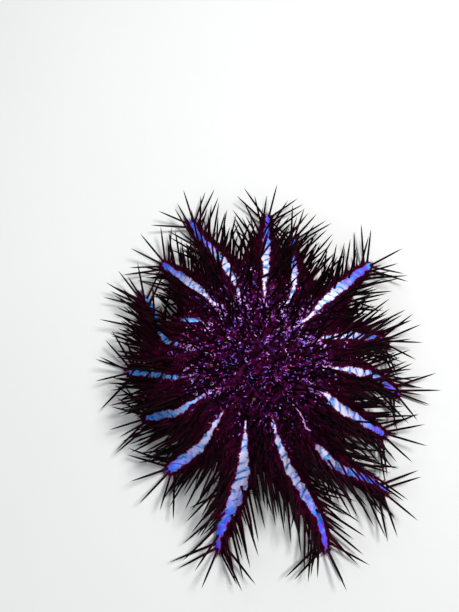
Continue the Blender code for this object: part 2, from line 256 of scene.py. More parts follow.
# Profiles of turned shapes: in each row a share of the length and a radius, the tip last.
SPINE_PROFILE = (
    (-0.05, 1.30),
    (0.00, 1.30),
    (0.08, 1.10),
    (0.17, 1.05),
    (0.20, 1.16),
    (0.235, 1.02),
    (0.45, 0.97),
    (0.68, 0.82),
    (0.87, 0.46),
    (1.00, 0.0),
)
FOOT_PROFILE = (
    (-0.15, 1.30),
    (0.05, 1.15),
    (0.30, 0.85),
    (0.55, 0.90),
    (0.78, 0.72),
    (0.86, 0.95),
    (0.92, 1.65),
    (0.985, 1.55),
    (1.0, 0.0),
)
PAPULA_PROFILE = ((-0.25, 1.0), (0.45, 1.05), (0.82, 0.72), (1.0, 0.0))
BLUNT_PROFILE = ((-0.2, 1.15), (0.0, 1.2), (0.2, 1.0), (0.6, 0.92), (0.88, 0.68), (1.0, 0.0))
DOME_PROFILE = ((-0.5, 1.05), (0.0, 1.05), (0.35, 0.98), (0.68, 0.78), (0.92, 0.42), (1.0, 0.0))
# Forms: a profile, how many sides, and how far the tip droops as a share of the length.
SPINE = (SPINE_PROFILE, 7, 0.012)
PAPULA = (PAPULA_PROFILE, 5, 0.0)
TUBE_FOOT = (FOOT_PROFILE, 7, 0.08)
OVER_GROOVE = (BLUNT_PROFILE, 6, 0.05)
UNDERNEATH = (BLUNT_PROFILE, 6, 0.03)
PLATE = (DOME_PROFILE, 20, 0.0)
EYE = (DOME_PROFILE, 14, 0.0)
FEELER = (BLUNT_PROFILE, 7, 0.12)

DOWN = np.array((0.0, 0.0, -1.0))
SLOPE_STEP = 0.0005
LEAST = 0.001
FAR = 99.0
SEED = 5
rng = np.random.default_rng(SEED)


def smooth(t):
    t = np.clip(t, 0.0, 1.0)
    return t * t * (3 - 2 * t)


def ease(value, start, end):
    """0 where the value is at start or short of it, 1 from end on, and eased between."""
    return smooth((value - start) / (end - start))


def mix(a, b, t):
    return a + (b - a) * t


def unit(vectors):
    return vectors / np.maximum(np.linalg.norm(vectors, axis=-1, keepdims=True), 1e-12)


def polar(angle, radius, z):
    return np.stack(np.broadcast_arrays(np.cos(angle) * radius, np.sin(angle) * radius, z), -1)


def level_ways(heading):
    """The ways ahead and to the left of each heading."""
    ahead = polar(heading, 1.0, 0.0)
    return ahead, np.cross(-DOWN, ahead)


def waves(points, size, seed, count=9):
    """Smooth noise from about -1 to 1, of waves that run all ways at about one size."""
    draw = np.random.default_rng(seed)
    total = np.zeros(len(points))
    for _ in range(count):
        way = unit(draw.normal(size=3)) * math.tau / (size * draw.uniform(0.7, 1.4))
        total += np.sin(points @ way + draw.uniform(0, math.tau))
    return total / count * 1.6


# Body


def disc_top(share):
    return mix(DISC_TOP, RIM_TOP, share * share)


def disc_sole(share):
    mouth = ease(share * DISC_APOTHEM / MOUTH_RADIUS, 1.4, 0.4)
    return mix(CENTRE_SOLE, RIM_SOLE, share * share) + MOUTH_DEPTH * mouth


def arm_size(number):
    return min(1.0, (ARMS[number][0] - DISC_APOTHEM) / FULL_LENGTH)


class Arm:
    """One arm's shape as functions of x, the distance from the disc's centre along the root's axis,
    and what is measured of local points, which lie along that axis and across it."""

    def __init__(self, number):
        reach, swing, self.bow, self.lift = ARMS[number]
        self.number = number
        self.azimuth = math.radians(FIRST_AZIMUTH - ARM_STEP * number)
        self.tip_x = reach * math.cos(math.radians(swing))
        self.tip_y = reach * math.sin(math.radians(swing))
        size = arm_size(number)
        self.bend_from = DISC_APOTHEM + BEND_FROM * size
        self.free_from = DISC_APOTHEM + FREE_FROM * size
        self.taper_from = DISC_APOTHEM + TAPER_FROM * size
        self.free_to = DISC_APOTHEM + FREE_TO * size
        self.joined_left = self.joined_to(arm_size(number - 1))
        self.joined_right = self.joined_to(arm_size((number + 1) % len(ARMS)))

    def joined_to(self, neighbour_size):
        return min(self.free_to, DISC_APOTHEM + FREE_TO * neighbour_size + JOIN_SPARE)

    def share(self, x):
        return (x - DISC_APOTHEM) / (self.tip_x - DISC_APOTHEM)

    def freedom(self, x):
        return ease(x, self.free_from, self.free_to)

    def side_shift(self, x):
        bend = np.maximum(0.0, x - self.bend_from) / (self.tip_x - self.bend_from)
        return bend**2 * (self.tip_y + BOW_SCALE * self.bow * (1 - bend))

    def turn(self, x):
        rise = self.side_shift(x + SLOPE_STEP) - self.side_shift(x - SLOPE_STEP)
        return np.arctan2(rise, 2 * SLOPE_STEP)

    def half_width(self, x):
        along = np.clip((x - self.taper_from) / (self.tip_x - self.taper_from), 0.0, 1.0)
        return mix(TIP_HALF_WIDTH, ROOT_HALF_WIDTH, (1 - along) ** 0.85)

    def sole(self, x):
        """The underside, past the disc's rim or under the disc."""
        t = np.clip(self.share(x) / REST_FROM, 0.0, 1.0)
        run = REST_FROM * (self.tip_x - DISC_APOTHEM)
        past = mix(RIM_SOLE, self.lift, smooth(t)) + ROOT_SLOPE * run * t * (1 - t) ** 2
        return np.where(x < DISC_APOTHEM, disc_sole(x / DISC_APOTHEM), past)

    def top(self, x):
        slope = (self.sole(x + SLOPE_STEP) - self.sole(x - SLOPE_STEP)) / (2 * SLOPE_STEP)
        left = np.clip(1 - np.maximum(self.share(x), 0.0), 0.0, 1.0) ** 0.7
        thickness = mix(TIP_THICKNESS, RIM_TOP - RIM_SOLE, left)
        past = self.sole(x) + thickness * np.sqrt(1 + 0.6 * slope * slope)
        return np.where(x < DISC_APOTHEM, disc_top(x / DISC_APOTHEM), past)

    def room(self, x):
        """Half the room there is across the arm: its wedge of the disc, or its own half width."""
        wedge = np.maximum(x, LEAST) * HALF_WEDGE
        return np.where(x < self.free_to, np.minimum(wedge, self.half_width(x)), self.half_width(x))

    def stripe_share(self, x):
        start = STRIPES[self.number][0]
        return (x - start) / (self.tip_x + STRIPE_PAST_TIP - start)

    def stripe_aside(self, x):
        """How far the stripe's middle is to the side of the midline."""
        near, middle, outer = STRIPES[self.number][3:6]
        t = self.stripe_share(x)
        aside = near * ease(t, 0.35, 0.0)
        aside += middle * ease(np.abs(t - 0.48), 0.42, 0.12)
        aside += outer * ease(np.abs(t - 0.80), 0.26, 0.06)
        return aside + 0.0005 * np.sin(x * 170 + self.number * 2.3)

    def stripe_half_width(self, x):
        """The bare stripe's half width at x, under zero past its ends."""
        widest, peak = STRIPES[self.number][1:3]
        t = self.stripe_share(x)
        rise = mix(np.clip(t / peak, 0, 1), ease(t, 0, peak), 0.75)
        fall = 1 - 0.55 * ease(t, peak, 1.05)
        width = mix(THINNEST_STRIPE, widest, rise) * fall * np.clip((STRIPE_END - t) * 9, 0, 1) ** 0.5
        width = width * (1 + 0.12 * np.sin(x * 420 + self.number * 1.7))
        if self.number == BROKEN_STRIPE:
            width = mix(THREAD_HALF_WIDTH, width, ease(t, THREAD_END, THREAD_END + 0.06))
        if self.number == HIDDEN_STRIPE:
            width = width * ease(t, 0.75, 0.45)
        return np.where((t < 0) | (t > STRIPE_END), NO_STRIPE, width)

    def place(self, points):
        """Local points in the part's own frame."""
        c, s = math.cos(self.azimuth), math.sin(self.azimuth)
        points = np.asarray(points, float)
        x, y, z = points[..., 0], points[..., 1], points[..., 2]
        return np.stack((x * c - y * s, x * s + y * c, z), -1) + DISC_CENTRE

    def local(self, points):
        c, s = math.cos(self.azimuth), math.sin(self.azimuth)
        x, y, z = (points[..., i] - DISC_CENTRE[i] for i in range(3))
        return np.stack((x * c + y * s, y * c - x * s, z), -1)

    def along(self, local):
        return local[:, 0]

    def across(self, local):
        """How far points are to the side of the centreline."""
        x = local[:, 0]
        return (local[:, 1] - self.side_shift(x)) * np.cos(self.turn(x))

    def sideways(self, local):
        """How far points are to the side, as a share of the room there."""
        return self.across(local) / self.room(local[:, 0])

    def reach(self, local):
        """0 at the disc's centre, 1 at the arm's tip."""
        return np.clip(local[:, 0] / self.tip_x, 0, 1.02)

    def under(self, local):
        """0 on the upper side, 1 underneath."""
        x = local[:, 0]
        high = (local[:, 2] - self.sole(x)) / np.maximum(self.top(x) - self.sole(x), LEAST)
        return ease(high, 0.42, 0.18)

    def beside(self, local):
        """How far points are to the side of the bare stripe's middle."""
        return self.across(local) - self.stripe_aside(local[:, 0])

    def edge(self, local):
        """How far points are outside the bare stripe's edge, under zero inside it."""
        return np.abs(self.beside(local)) - self.stripe_half_width(local[:, 0])

    def pink(self, local):
        """1 on the thin inner end of a broken stripe."""
        return ease(self.stripe_share(local[:, 0]), 0.36, 0.26) * (self.number == BROKEN_STRIPE)

    def torn(self, local):
        """1 where a stripe is cut into pieces."""
        start = TORN_STRIPES.get(self.number, UNTORN)
        return ease(self.stripe_share(local[:, 0]), start, start + 0.08)

    def before_stripe(self, local):
        """1 just inside the place where the bare stripe begins, but for arms at the photo's bottom."""
        ahead = (local[:, 0] - STRIPES[self.number][0] + 0.004) / 0.008
        beside = self.beside(local) / 0.0045
        return np.exp(-ahead * ahead - beside * beside) * (math.sin(self.azimuth) > -0.7)

    def girth(self, local):
        """The share of the way round the arm at which points lie, from -0.5 to 0.5."""
        x = local[:, 0]
        middle = (self.top(x) + self.sole(x)) / 2
        half = np.maximum((self.top(x) - self.sole(x)) / 2, LEAST)
        return np.arctan2(self.sideways(local), (local[:, 2] - middle) / half) / math.tau

    def length(self, local):
        """How far out points lie over the arm's top, as a share of its cell on the map."""
        x = np.linspace(0, self.tip_x + 0.005, 80)
        steps = np.hypot(np.diff(x), np.diff(self.top(x)))
        return np.interp(local[:, 0], x, np.concatenate(([0], np.cumsum(steps)))) / UNWRAP_LENGTH


arms = [Arm(number) for number in range(len(ARMS))]


def whose(points):
    """For points of the body: the number of the arm that each belongs to."""
    nearest = []
    for arm in arms:
        local = arm.local(points)
        x = local[:, 0]
        past = np.maximum(0.0, x - arm.tip_x) / TIP_HALF_WIDTH
        nearest.append(np.where(x < 0.0, FAR, np.abs(arm.sideways(local)) + past))
    return np.argmin(nearest, axis=0)


class Spots:
    """Points of the body, with the number of each one's arm."""

    def __init__(self, points, owners=None):
        self.points = points
        self.owners = whose(points) if owners is None else owners

    def measure(self, *ways):
        """What each way of measuring, one of Arm's, finds for the points on their own arms."""
        found = np.zeros((len(ways), len(self.points)))
        for arm in arms:
            mine = self.owners == arm.number
            local = arm.local(self.points[mine])
            for row, way in zip(found, ways):
                row[mine] = way(arm, local)
        return found if len(ways) > 1 else found[0]

    def radius(self):
        return np.linalg.norm(self.points[:, :2] - DISC_CENTRE[:2], axis=1)

    def streak(self):
        """Places squeezed along the arms, in which noise gives streaks that run towards the tips."""
        across, along = self.measure(Arm.across, Arm.along)
        return np.stack((across, along * STREAK_SQUEEZE, self.owners * ARM_OFFSET), -1)

    def unwrapped(self, centres=None):
        """Places on a map of the skin that is cut along the grooves, near the girths in centres."""
        u, v = self.measure(Arm.girth, Arm.length)
        if centres is not None:
            u = centres + (u - centres + 0.5) % 1.0 - 0.5
        side = 1 - 2 * CELL_MARGIN
        column, row = self.owners % CELLS, self.owners // CELLS
        u = (column + CELL_MARGIN + np.clip(u + 0.5, -0.02, 1.02) * side) / CELLS
        v = (row + CELL_MARGIN + np.clip(v, 0, 1) * side) / CELLS
        return np.stack((u, v), -1)


# Meshes


def mesh_object(name, points, faces):
    """An object from arrays: points, and faces that all have as many corners."""
    faces = np.asarray(faces, np.int32)
    mesh = bpy.data.meshes.new(name)
    mesh.vertices.add(len(points))
    mesh.vertices.foreach_set("co", np.asarray(points, np.float32).ravel())
    mesh.loops.add(faces.size)
    mesh.loops.foreach_set("vertex_index", faces.ravel())
    mesh.polygons.add(len(faces))
    corners = faces.shape[1]
    mesh.polygons.foreach_set("loop_start", np.arange(0, faces.size, corners, dtype=np.int32))
    mesh.update(calc_edges=True)
    mesh.validate()
    return linked(name, mesh)


def linked(name, data):
    obj = bpy.data.objects.new(name, data)
    bpy.context.scene.collection.objects.link(obj)
    return obj


def set_attribute(obj, name, values):
    """A value or a vector for each point of the mesh."""
    values = np.asarray(values, np.float32)
    kind, field = ("FLOAT", "value") if values.ndim == 1 else ("FLOAT_VECTOR", "vector")
    layer = obj.data.attributes.new(name, kind, "POINT")
    layer.data.foreach_set(field, values.ravel())


def set_map(obj, places):
    """The UV map, from a place for each corner."""
    layer = obj.data.uv_layers.new(name="OFBake")
    layer.data.foreach_set("uv", np.asarray(places, np.float32).ravel())


def finish_piece(obj, material):
    obj.data.materials.clear()
    obj.data.materials.append(material)
    obj.data.shade_smooth()
    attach(obj, "root")


def numbers(items, field, kind=np.float32):
    """A field with one number for each of a mesh's items."""
    values = np.empty(len(items), kind)
    items.foreach_get(field, values)
    return values


def vectors(items, field):
    """A field with a vector for each of a mesh's items."""
    values = np.empty(len(items) * 3, np.float32)
    items.foreach_get(field, values)
    return values.reshape(-1, 3).astype(float)


def tube_faces(rings, sides, ends=2):
    """Triangles of a wall through rings of points, closed by one point past its last ring, or
    by a point for each end. Those points come after the rings."""
    ring = np.arange(sides)
    after = np.roll(ring, -1)
    faces = []
    for a in range(0, (rings - 1) * sides, sides):
        b = a + sides
        faces.append(np.stack((a + ring, a + after, b + after), -1))
        faces.append(np.stack((a + ring, b + after, b + ring), -1))
    hub = np.full(sides, rings * sides)
    if ends == 2:
        faces.append(np.stack((after, ring, hub), -1))
        hub = hub + 1
    last = (rings - 1) * sides
    faces.append(np.stack((last + ring, last + after, hub), -1))
    return np.concatenate(faces)


# Skin


def rounded(section):
    """A closed outline with its corners cut twice."""
    for _ in range(2):
        after = np.roll(section, -1, axis=0)
        section = np.stack((section * 0.75 + after * 0.25, section * 0.25 + after * 0.75), 1)
        section = section.reshape(-1, 3)
    return section


def arm_section(arm, x, shrink):
    """The outline round the arm at x, a little inside the solid's."""
    free = float(arm.freedom(x))
    half = (float(arm.half_width(x)) - SKIN_DEPTH * free) * shrink
    sole = float(arm.sole(x)) + SKIN_GAP
    high = (float(arm.top(x)) - SKIN_DEPTH - sole) * shrink
    top = sole + high
    groove = min(GROOVE_DEPTH, GROOVE_SHARE * high)
    side = (
        (0.26, top - mix(0.0002, 0.03 * high, free)),
        (0.50, top - mix(0.0008, 0.11 * high, free)),
        (mix(1.0, 0.86, free), top - mix(SKIN_VALLEY, 0.36 * high, free)),
        (1.0, top - mix(0.50, 0.64, free) * high),
        (mix(1.0, 0.88, free), sole + mix(0.0, 0.10, free) * high),
        (0.62, sole),
        (0.30, sole),
    )
    turn, shift = float(arm.turn(x)), float(arm.side_shift(x))

    def at(across, z):
        px = x - across * half * math.sin(turn)
        py = shift + across * half * math.cos(turn)
        limit = px * HALF_WEDGE + mix(SKIN_OVERLAP, 0.0, free)
        if x < arm.joined_left:
            py = min(limit, py)
        if x < arm.joined_right:
            py = max(-limit, py)
        return px, py, z

    left = [at(across, z) for across, z in side]
    right = [at(-across, z) for across, z in reversed(side)]
    return rounded(np.array([at(0, top), *left, at(0, sole + groove), *right]))


def loft(rings):
    """Points and triangles of a closed body through rings of as many points."""
    points = np.concatenate((*rings, [rings[0].mean(axis=0)], [rings[-1].mean(axis=0)]))
    return points, tube_faces(len(rings), len(rings[0]))


def arm_flesh(arm):
    end = arm.tip_x - TIP_ROUNDING
    places = [(x, 1.0) for x in np.linspace(DISC_APOTHEM - ROOT_OVERLAP, end, STATIONS)]
    for i in range(1, TIP_RINGS):
        t = i / TIP_RINGS
        places.append((end + (TIP_ROUNDING - TIP_SHORT) * t, math.sqrt(1 - t * t)))
    return loft([arm.place(arm_section(arm, x, shrink)) for x, shrink in places])


def disc_flesh():
    """The disc, its upper rings turned into its lower ones at the rim."""
    angle = np.radians(FIRST_AZIMUTH) + np.arange(DISC_SPOKES) * math.tau / DISC_SPOKES
    phase = np.cos((angle - math.radians(FIRST_AZIMUTH)) * len(ARMS))
    shares = np.linspace(0.06, 1.0, DISC_RINGS)
    levels = []
    for share in shares:
        valley = SKIN_VALLEY * share**3 * smooth(-phase) * 0.9
        levels.append((share, disc_top(share) - SKIN_DEPTH - valley))
    for share in shares[::-1]:
        groove = GROOVE_DEPTH * smooth(share * 1.6) * ease(phase, 0.80, 1.0)
        levels.append((share, disc_sole(share) + SKIN_GAP + groove))
    rings = []
    for share, z in levels:
        radius = (DISC_APOTHEM + DISC_OVERLAP) * share
        rings.append(polar(angle, radius, z) + DISC_CENTRE)
    return loft(rings)


def make_skin(material):
    """All the flesh joined as one surface, with what its material and its map need."""
    points, faces, start = [], [], 0
    for body in [disc_flesh(), *(arm_flesh(arm) for arm in arms)]:
        points.append(body[0])
        faces.append(body[1] + start)
        start += len(body[0])
    rough = mesh_object("rough_skin", np.concatenate(points), np.concatenate(faces))
    remesh = rough.modifiers.new("join", "REMESH")
    remesh.mode = "VOXEL"
    remesh.voxel_size = VOXEL
    soften = rough.modifiers.new("soften", "SMOOTH")
    soften.factor = 0.5
    soften.iterations = 5
    graph = bpy.context.evaluated_depsgraph_get()
    mesh = bpy.data.meshes.new_from_object(rough.evaluated_get(graph))
    bpy.data.objects.remove(rough)
    mesh.name = "skin"
    skin = linked("skin", mesh)
    mark_skin(skin, relief(skin))
    finish_piece(skin, material)
    return skin


def relief(skin):
    """Low swellings of the body wall, stripes a little sunk, and the mouth's folds. Returns the
    skin's points as moved, and their stripes' edge and underside as they were."""
    points, normals = vectors(skin.data.vertices, "co"), vectors(skin.data.vertex_normals, "vector")
    spots = Spots(points)
    edge, under = spots.measure(Arm.edge, Arm.under)
    swell = waves(points, 0.011, 1) * 0.35 + waves(points, 0.006, 2) * 0.25
    height = swell * SWELLING * (1 - under) * ease(edge, -0.0008, 0.0012)
    height -= STRIPE_SINK * (1 - under) * ease(edge, 0.0, -0.0015)
    out, radius = points - DISC_CENTRE, spots.radius()
    folds = np.sin(MOUTH_FOLDS * np.arctan2(out[:, 1], out[:, 0]))
    height += FOLD_HEIGHT * folds * under * ease(radius, 0.013, 0.009) * ease(radius, 0.0, 0.004)
    points += normals * height[:, None]
    points[:, 2] = np.maximum(points[:, 2], SKIN_GAP)
    skin.data.vertices.foreach_set("co", points.astype(np.float32).ravel())
    skin.data.update()
    return spots, edge, under


def mark_skin(skin, surface):
    """The attributes that the skin's material reads, and the map. On the map each face takes one
    arm's cell, so no face is drawn out across it."""
    spots, edge, under = surface
    names = ("reach", "pink", "torn", "along", "across")
    marks = dict(zip(names, spots.measure(*(getattr(Arm, name) for name in names))))
    marks |= {"spot": spots.points, "edge": edge, "under": under}
    # Each arm's stripe blue: in part its own blue, and painted shade on the arms on the shaded side.
    marks |= {"streak": spots.streak(), "cool_hue_and_painted_shade": np.array(STRIPES)[spots.owners, 6]}
    for name, values in marks.items():
        set_attribute(skin, name, values)
    mesh = skin.data
    corners = numbers(mesh.loops, "vertex_index", np.int32)
    totals = numbers(mesh.polygons, "loop_total", np.int32)
    face = np.repeat(np.arange(len(totals)), totals)
    middles = Spots(vectors(mesh.polygons, "center"))
    on_corners = Spots(spots.points[corners], middles.owners[face])
    set_map(skin, on_corners.unwrapped(middles.measure(Arm.girth)[face]))


# Spines


def welded_edges(mesh):
    """Points of a mesh made one where they coincide, and each one's neighbours."""
    rounded_off = np.round(vectors(mesh.vertices, "co"), 6)
    points, index = np.unique(rounded_off, axis=0, return_inverse=True)
    index = index.reshape(-1)
    near = [set() for _ in points]
    for edge in mesh.edges:
        a, b = index[edge.vertices[0]], index[edge.vertices[1]]
        if a != b:
            near[a].add(int(b))
            near[b].add(int(a))
    return points, near


def solid_spines():
    """The spines that the solids carry: their roots and tips, read from each one's drawn-out point."""
    roots, tips = [], []
    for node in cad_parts.values():
        points, near = welded_edges(node.data)
        for i, others in enumerate(near):
            if len(others) != SPINE_CORNERS:
                continue
            waist = points[list(others)]
            middle = waist.mean(axis=0)
            gone = np.linalg.norm(points[i] - middle)
            if gone < LEAST_POINT or np.linalg.norm(waist - middle, axis=1).max() > WIDEST_WAIST:
                continue
            tips.append(points[i])
            roots.append(points[i] - (points[i] - middle) / (1 - SPINE_WAIST))
    return np.array(roots), np.array(tips)


def segment_gaps(root, tip, roots, tips):
    """The shortest distances from one segment to many."""
    u, v, w = tip - root, tips - roots, root - roots
    uu, vv = u @ u, (v * v).sum(axis=1)
    uv, uw, vw = v @ u, w @ u, (v * w).sum(axis=1)
    s = np.clip((uv * vw - vv * uw) / np.maximum(uu * vv - uv * uv, 1e-14), 0, 1)
    t = np.clip((uv * s + vw) / vv, 0, 1)
    s = np.clip((uv * t - uw) / uu, 0, 1)
    return np.linalg.norm(w + u * s[:, None] - v * t[:, None], axis=1)


def surface_spots(skin, count, weight):
    """Spots drawn at random on the skin's faces, as many as count, and the skin's normals there."""
    faces = skin.data.polygons
    centres, normals = vectors(faces, "center"), vectors(faces, "normal")
    odds = numbers(faces, "area") * weight(Spots(centres))
    picked = rng.choice(len(centres), size=count, p=odds / odds.sum())
    jitter = rng.normal(size=(count, 3))
    jitter -= normals[picked] * (jitter * normals[picked]).sum(axis=1, keepdims=True)
    return Spots(centres[picked] + jitter * VOXEL * 0.35), normals[picked]


def spine_weight(spots):
    """Where spines stand: over the upper side and flanks, but not on the bare stripes."""
    under, edge, reach = spots.measure(Arm.under, Arm.edge, Arm.reach)
    return (under < 0.75) * (edge > 0.0012) * mix(1.0, 1.7, ease(reach, 0.5, 1.0))


def spine_ways(arm, local, normals):
    """The way that each of an arm's spines leans: out along the arm, aside from its stripe, or on
    some arms across it."""
    x, reach = local[:, 0], arm.reach(local)
    heading = arm.azimuth + arm.turn(x)
    ahead, side = level_ways(heading)
    across, beside, edge = arm.sideways(local), arm.beside(local), arm.edge(local)
    outer = ease(reach, 0.35, 0.60)
    rear = smooth(0.5 + 0.9 * np.sin(heading))
    flank = ease(np.abs(across), 0.35, 0.75) * outer
    forward = mix(0.12, 0.62, reach) * mix(0.65, 1.25, 0.5 - 0.5 * np.sin(heading))
    forward = forward + mix(1.25, 0.30, rear) * flank
    apart = np.sign(beside) * ease(edge, 0.007, 0.003) * (arm.stripe_half_width(x) > 0.0005)
    outward = across * ease(reach, 0.42, 0.67) * 0.25 + 0.35 * apart
    off = mix(0.9, 0.6, flank)
    ways = normals * off[:, None] + ahead * forward[:, None] + side * outward[:, None]
    ways[:, 2] += 0.8 * rear * outer
    start, hand = CROSSED_STRIPES.get(arm.number, UNCROSSED)
    near = ease(edge, 0.006, 0.003) * (beside * hand < 0)
    near = (near * ease(reach, start, start + 0.08))[:, None]
    return mix(ways, ahead * 0.9 + side * 0.75 * hand + normals * 0.35, near)


def spine_length(arm, local):
    past = np.clip(arm.share(local[:, 0]), 0, 1)
    on_disc = mix(DISC_SPINE, ARM_SPINE, smooth(arm.reach(local) * 1.9) ** 1.5)
    return np.where(past > 0, mix(ARM_SPINE, TIP_SPINE, past), on_disc)


def spine_frame(spots, normals):
    """For spine roots: the wanted direction and length of each."""
    reach, under, lengths = spots.measure(Arm.reach, Arm.under, spine_length)
    ways = np.zeros(normals.shape)
    for arm in arms:
        mine = spots.owners == arm.number
        ways[mine] = spine_ways(arm, arm.local(spots.points[mine]), normals[mine])
    lengths = mix(lengths, LOWER_SPINE, smooth(under * 1.4))
    inner = ease(reach, 0.30, 0.18)
    ways[:, 1] += DISC_LEAN * inner
    ways += rng.normal(size=ways.shape) * mix(SCATTER, DISC_SCATTER, inner)[:, None]
    lengths *= rng.uniform(0.8, 1.08, len(lengths))
    return unit(ways), lengths


def clear_of_skin(tree, root, way, length):
    """How long a spine may be before it would meet the floor or another part of the skin."""
    start = Vector(root) + Vector(way) * HIT_FROM
    hit = tree.ray_cast(start, Vector(way), length)[3]
    if hit is not None:
        length = min(length, hit)
    if way[2] < 0:
        length = min(length, (root[2] - FLOOR_ROOM) / -way[2])
    return length


def fits_box(tip):
    low, high = CAD_BOX
    return all(low[i] + BOX_GAP < tip[i] < high[i] - BOX_GAP for i in range(3))


def combed(tree, roots, tips):
    """Tips of the solids' spines, with those that stand out between the arms laid forward."""
    normals = np.array([tree.find_nearest(Vector(root))[1] for root in roots])
    spots = Spots(roots)
    ways, _ = spine_frame(spots, normals)
    lengths = np.linalg.norm(tips - roots, axis=1)
    reach = spots.measure(Arm.reach)
    share = ease(reach, 0.40, 0.55) * ease(reach, 0.95, 0.87) * COMB
    ways = unit(mix(unit(tips - roots), ways, share[:, None]))
    new = tips.copy()
    for i, (root, way, length) in enumerate(zip(roots, ways, lengths)):
        tip = root + way * clear_of_skin(tree, root, way, length)
        if fits_box(tip) and np.linalg.norm(tip - root) > COMBED_SHARE * length:
            new[i] = tip
    return new


def settle_spines(skin, tree):
    """The solids' own spines, with more set between them until they stand as close as in life."""
    roots, tips = solid_spines()
    roots, tips = list(roots), list(combed(tree, roots, tips))
    spots, normals = surface_spots(skin, SPINE_SPOTS, spine_weight)
    ways, lengths = spine_frame(spots, normals)
    reach = spots.measure(Arm.reach)
    spacing = mix(DISC_SPINE_SPACING, SPINE_SPACING, ease(reach, 0.25, 0.45))
    spacing = mix(spacing, TIP_SPINE_SPACING, ease(reach, 0.80, 0.95))
    for spot, way, wanted, apart in zip(spots.points, ways, lengths, spacing):
        if np.linalg.norm(np.array(roots) - spot, axis=1).min() < apart:
            continue
        for _ in range(LEAN_TRIES):
            length = clear_of_skin(tree, spot, way, wanted)
            tip = spot + way * length
            if length > LEAST_SHARE * wanted and fits_box(tip):
                gaps = segment_gaps(spot + way * GAP_FROM, tip, np.array(roots), np.array(tips))
                if gaps.min() > SPINE_ROOM:
                    roots.append(spot)
                    tips.append(tip)
                    break
            way = unit(way + rng.normal(scale=RETRY_SCATTER, size=3) + np.array((0, 0, RETRY_LIFT)))
    return np.array(roots), np.array(tips)


def frames_along(ways):
    """Two directions square to each way."""
    helper = np.where(np.abs(ways[:, 2:]) < 0.9, (0.0, 0.0, 1.0), (1.0, 0.0, 0.0))
    first = unit(np.cross(helper, ways))
    return first, np.cross(ways, first)


def turned_shapes(roots, ways, lengths, thickness, profile, sides, bend):
    """Many pointed shapes, each turned about its way: their points, the triangles of one, and how
    far up it and round it each of its points is."""
    rings = len(profile) - 1
    heights, radii = np.array(profile).T
    first, second = frames_along(ways)
    angle = np.arange(sides) * math.tau / sides
    droop = unit(rng.normal(size=(len(roots), 3))) * bend * lengths[:, None]
    spine = roots[:, None] + ways[:, None] * (heights[:, None] * lengths[:, None, None])
    spine = spine + droop[:, None] * (np.maximum(heights, 0) ** 2)[:, None]
    out = first[:, None] * np.cos(angle)[:, None] + second[:, None] * np.sin(angle)[:, None]
    wide = radii[:rings] * thickness[:, None]
    body = spine[:, :rings, None] + out[:, None] * wide[:, :, None, None]
    points = np.concatenate((body.reshape(len(roots), -1, 3), spine[:, -1:]), axis=1)
    level = np.concatenate((np.repeat(heights[:rings], sides), [1.0]))
    turn = np.concatenate((np.tile(np.arange(sides) / sides, rings), [0.5]))
    return points, tube_faces(rings, sides, 1), np.clip(level, 0, 1), turn


def coat(name, shapes, spots, material, slot, **marks):
    """Joined pieces of a coat, each of at most MOST_TRIANGLES triangles, with the attributes its
    markings need.
    """
    points, faces, level, turn = shapes
    points[..., 2] = np.maximum(points[..., 2], COAT_GAP)
    each = points.shape[1]
    pieces = math.ceil(len(points) / (MOST_TRIANGLES // len(faces)))
    centres = spots.unwrapped()
    patch = np.stack((turn - 0.5, level - 0.5), -1) * PATCH
    order = np.argsort(spots.owners, kind="stable")
    for number, chosen in enumerate(np.array_split(order, pieces)):
        title = name if pieces == 1 else f"{name}_{number + 1}"
        all_faces = faces + (np.arange(len(chosen)) * each)[:, None, None]
        obj = mesh_object(title, points[chosen].reshape(-1, 3), all_faces.reshape(-1, 3))
        set_attribute(obj, "level", np.tile(level, len(chosen)))
        for key, values in (("spot", spots.points), *marks.items()):
            set_attribute(obj, key, np.repeat(values[chosen], each, axis=0))
        places = centres[chosen][:, None] + patch
        set_map(obj, places.reshape(-1, 2)[all_faces.ravel()])
        finish_piece(obj, material)


def grow(name, material, spots, ways, lengths, thickness, form, slot="arm_skin", **marks):
    """A coat of turned shapes of one form, each with a tone at random. A length or a thickness
    may be one for all of them."""
    lengths, thickness = (np.broadcast_to(size, len(ways)) for size in (lengths, thickness))
    shapes = turned_shapes(spots.points, ways, lengths, thickness, *form)
    coat(name, shapes, spots, material, slot, tone=rng.uniform(0, 1, len(ways)), **marks)


def make_spines(skin, tree, material):
    """The spines of the upper side and flanks. Returns their roots."""
    roots, tips = settle_spines(skin, tree)
    spots, lengths = Spots(roots), np.linalg.norm(tips - roots, axis=1)
    thick = SPINE_RADIUS * np.clip(0.62 + 0.38 * lengths / ARM_SPINE, 0.6, 1.05)
    black = ease(spots.measure(Arm.reach), 0.50, 0.30)
    grow("spines", material, spots, unit(tips - roots), lengths, thick, SPINE, black=black)
    return spots


# Papulae and flecks


def papula_weight(spots):
    under, edge, reach = spots.measure(Arm.under, Arm.edge, Arm.reach)
    closer = mix(1.9, 1.0, ease(reach, 0.30, 0.45))
    return (under < 0.55) * (edge > 0.0002) * (spots.points[:, 2] > 0.004) * closer


def make_papulae(skin, material):
    """The soft fingers that cover the skin between the spines."""
    spots, normals = surface_spots(skin, PAPULAE, papula_weight)
    ways = unit(normals + rng.normal(scale=0.22, size=normals.shape))
    marks = {"reach": spots.measure(Arm.reach), "streak": spots.streak()}
    low = mix(0.55, 1.0, ease(marks["reach"], 0.28, 0.48))
    lengths = PAPULA_HEIGHT * low * rng.uniform(0.6, 1.25, PAPULAE)
    thick = PAPULA_RADIUS * rng.uniform(0.8, 1.2, PAPULAE)
    grow("papulae", material, spots, ways, lengths, thick, PAPULA, **marks)


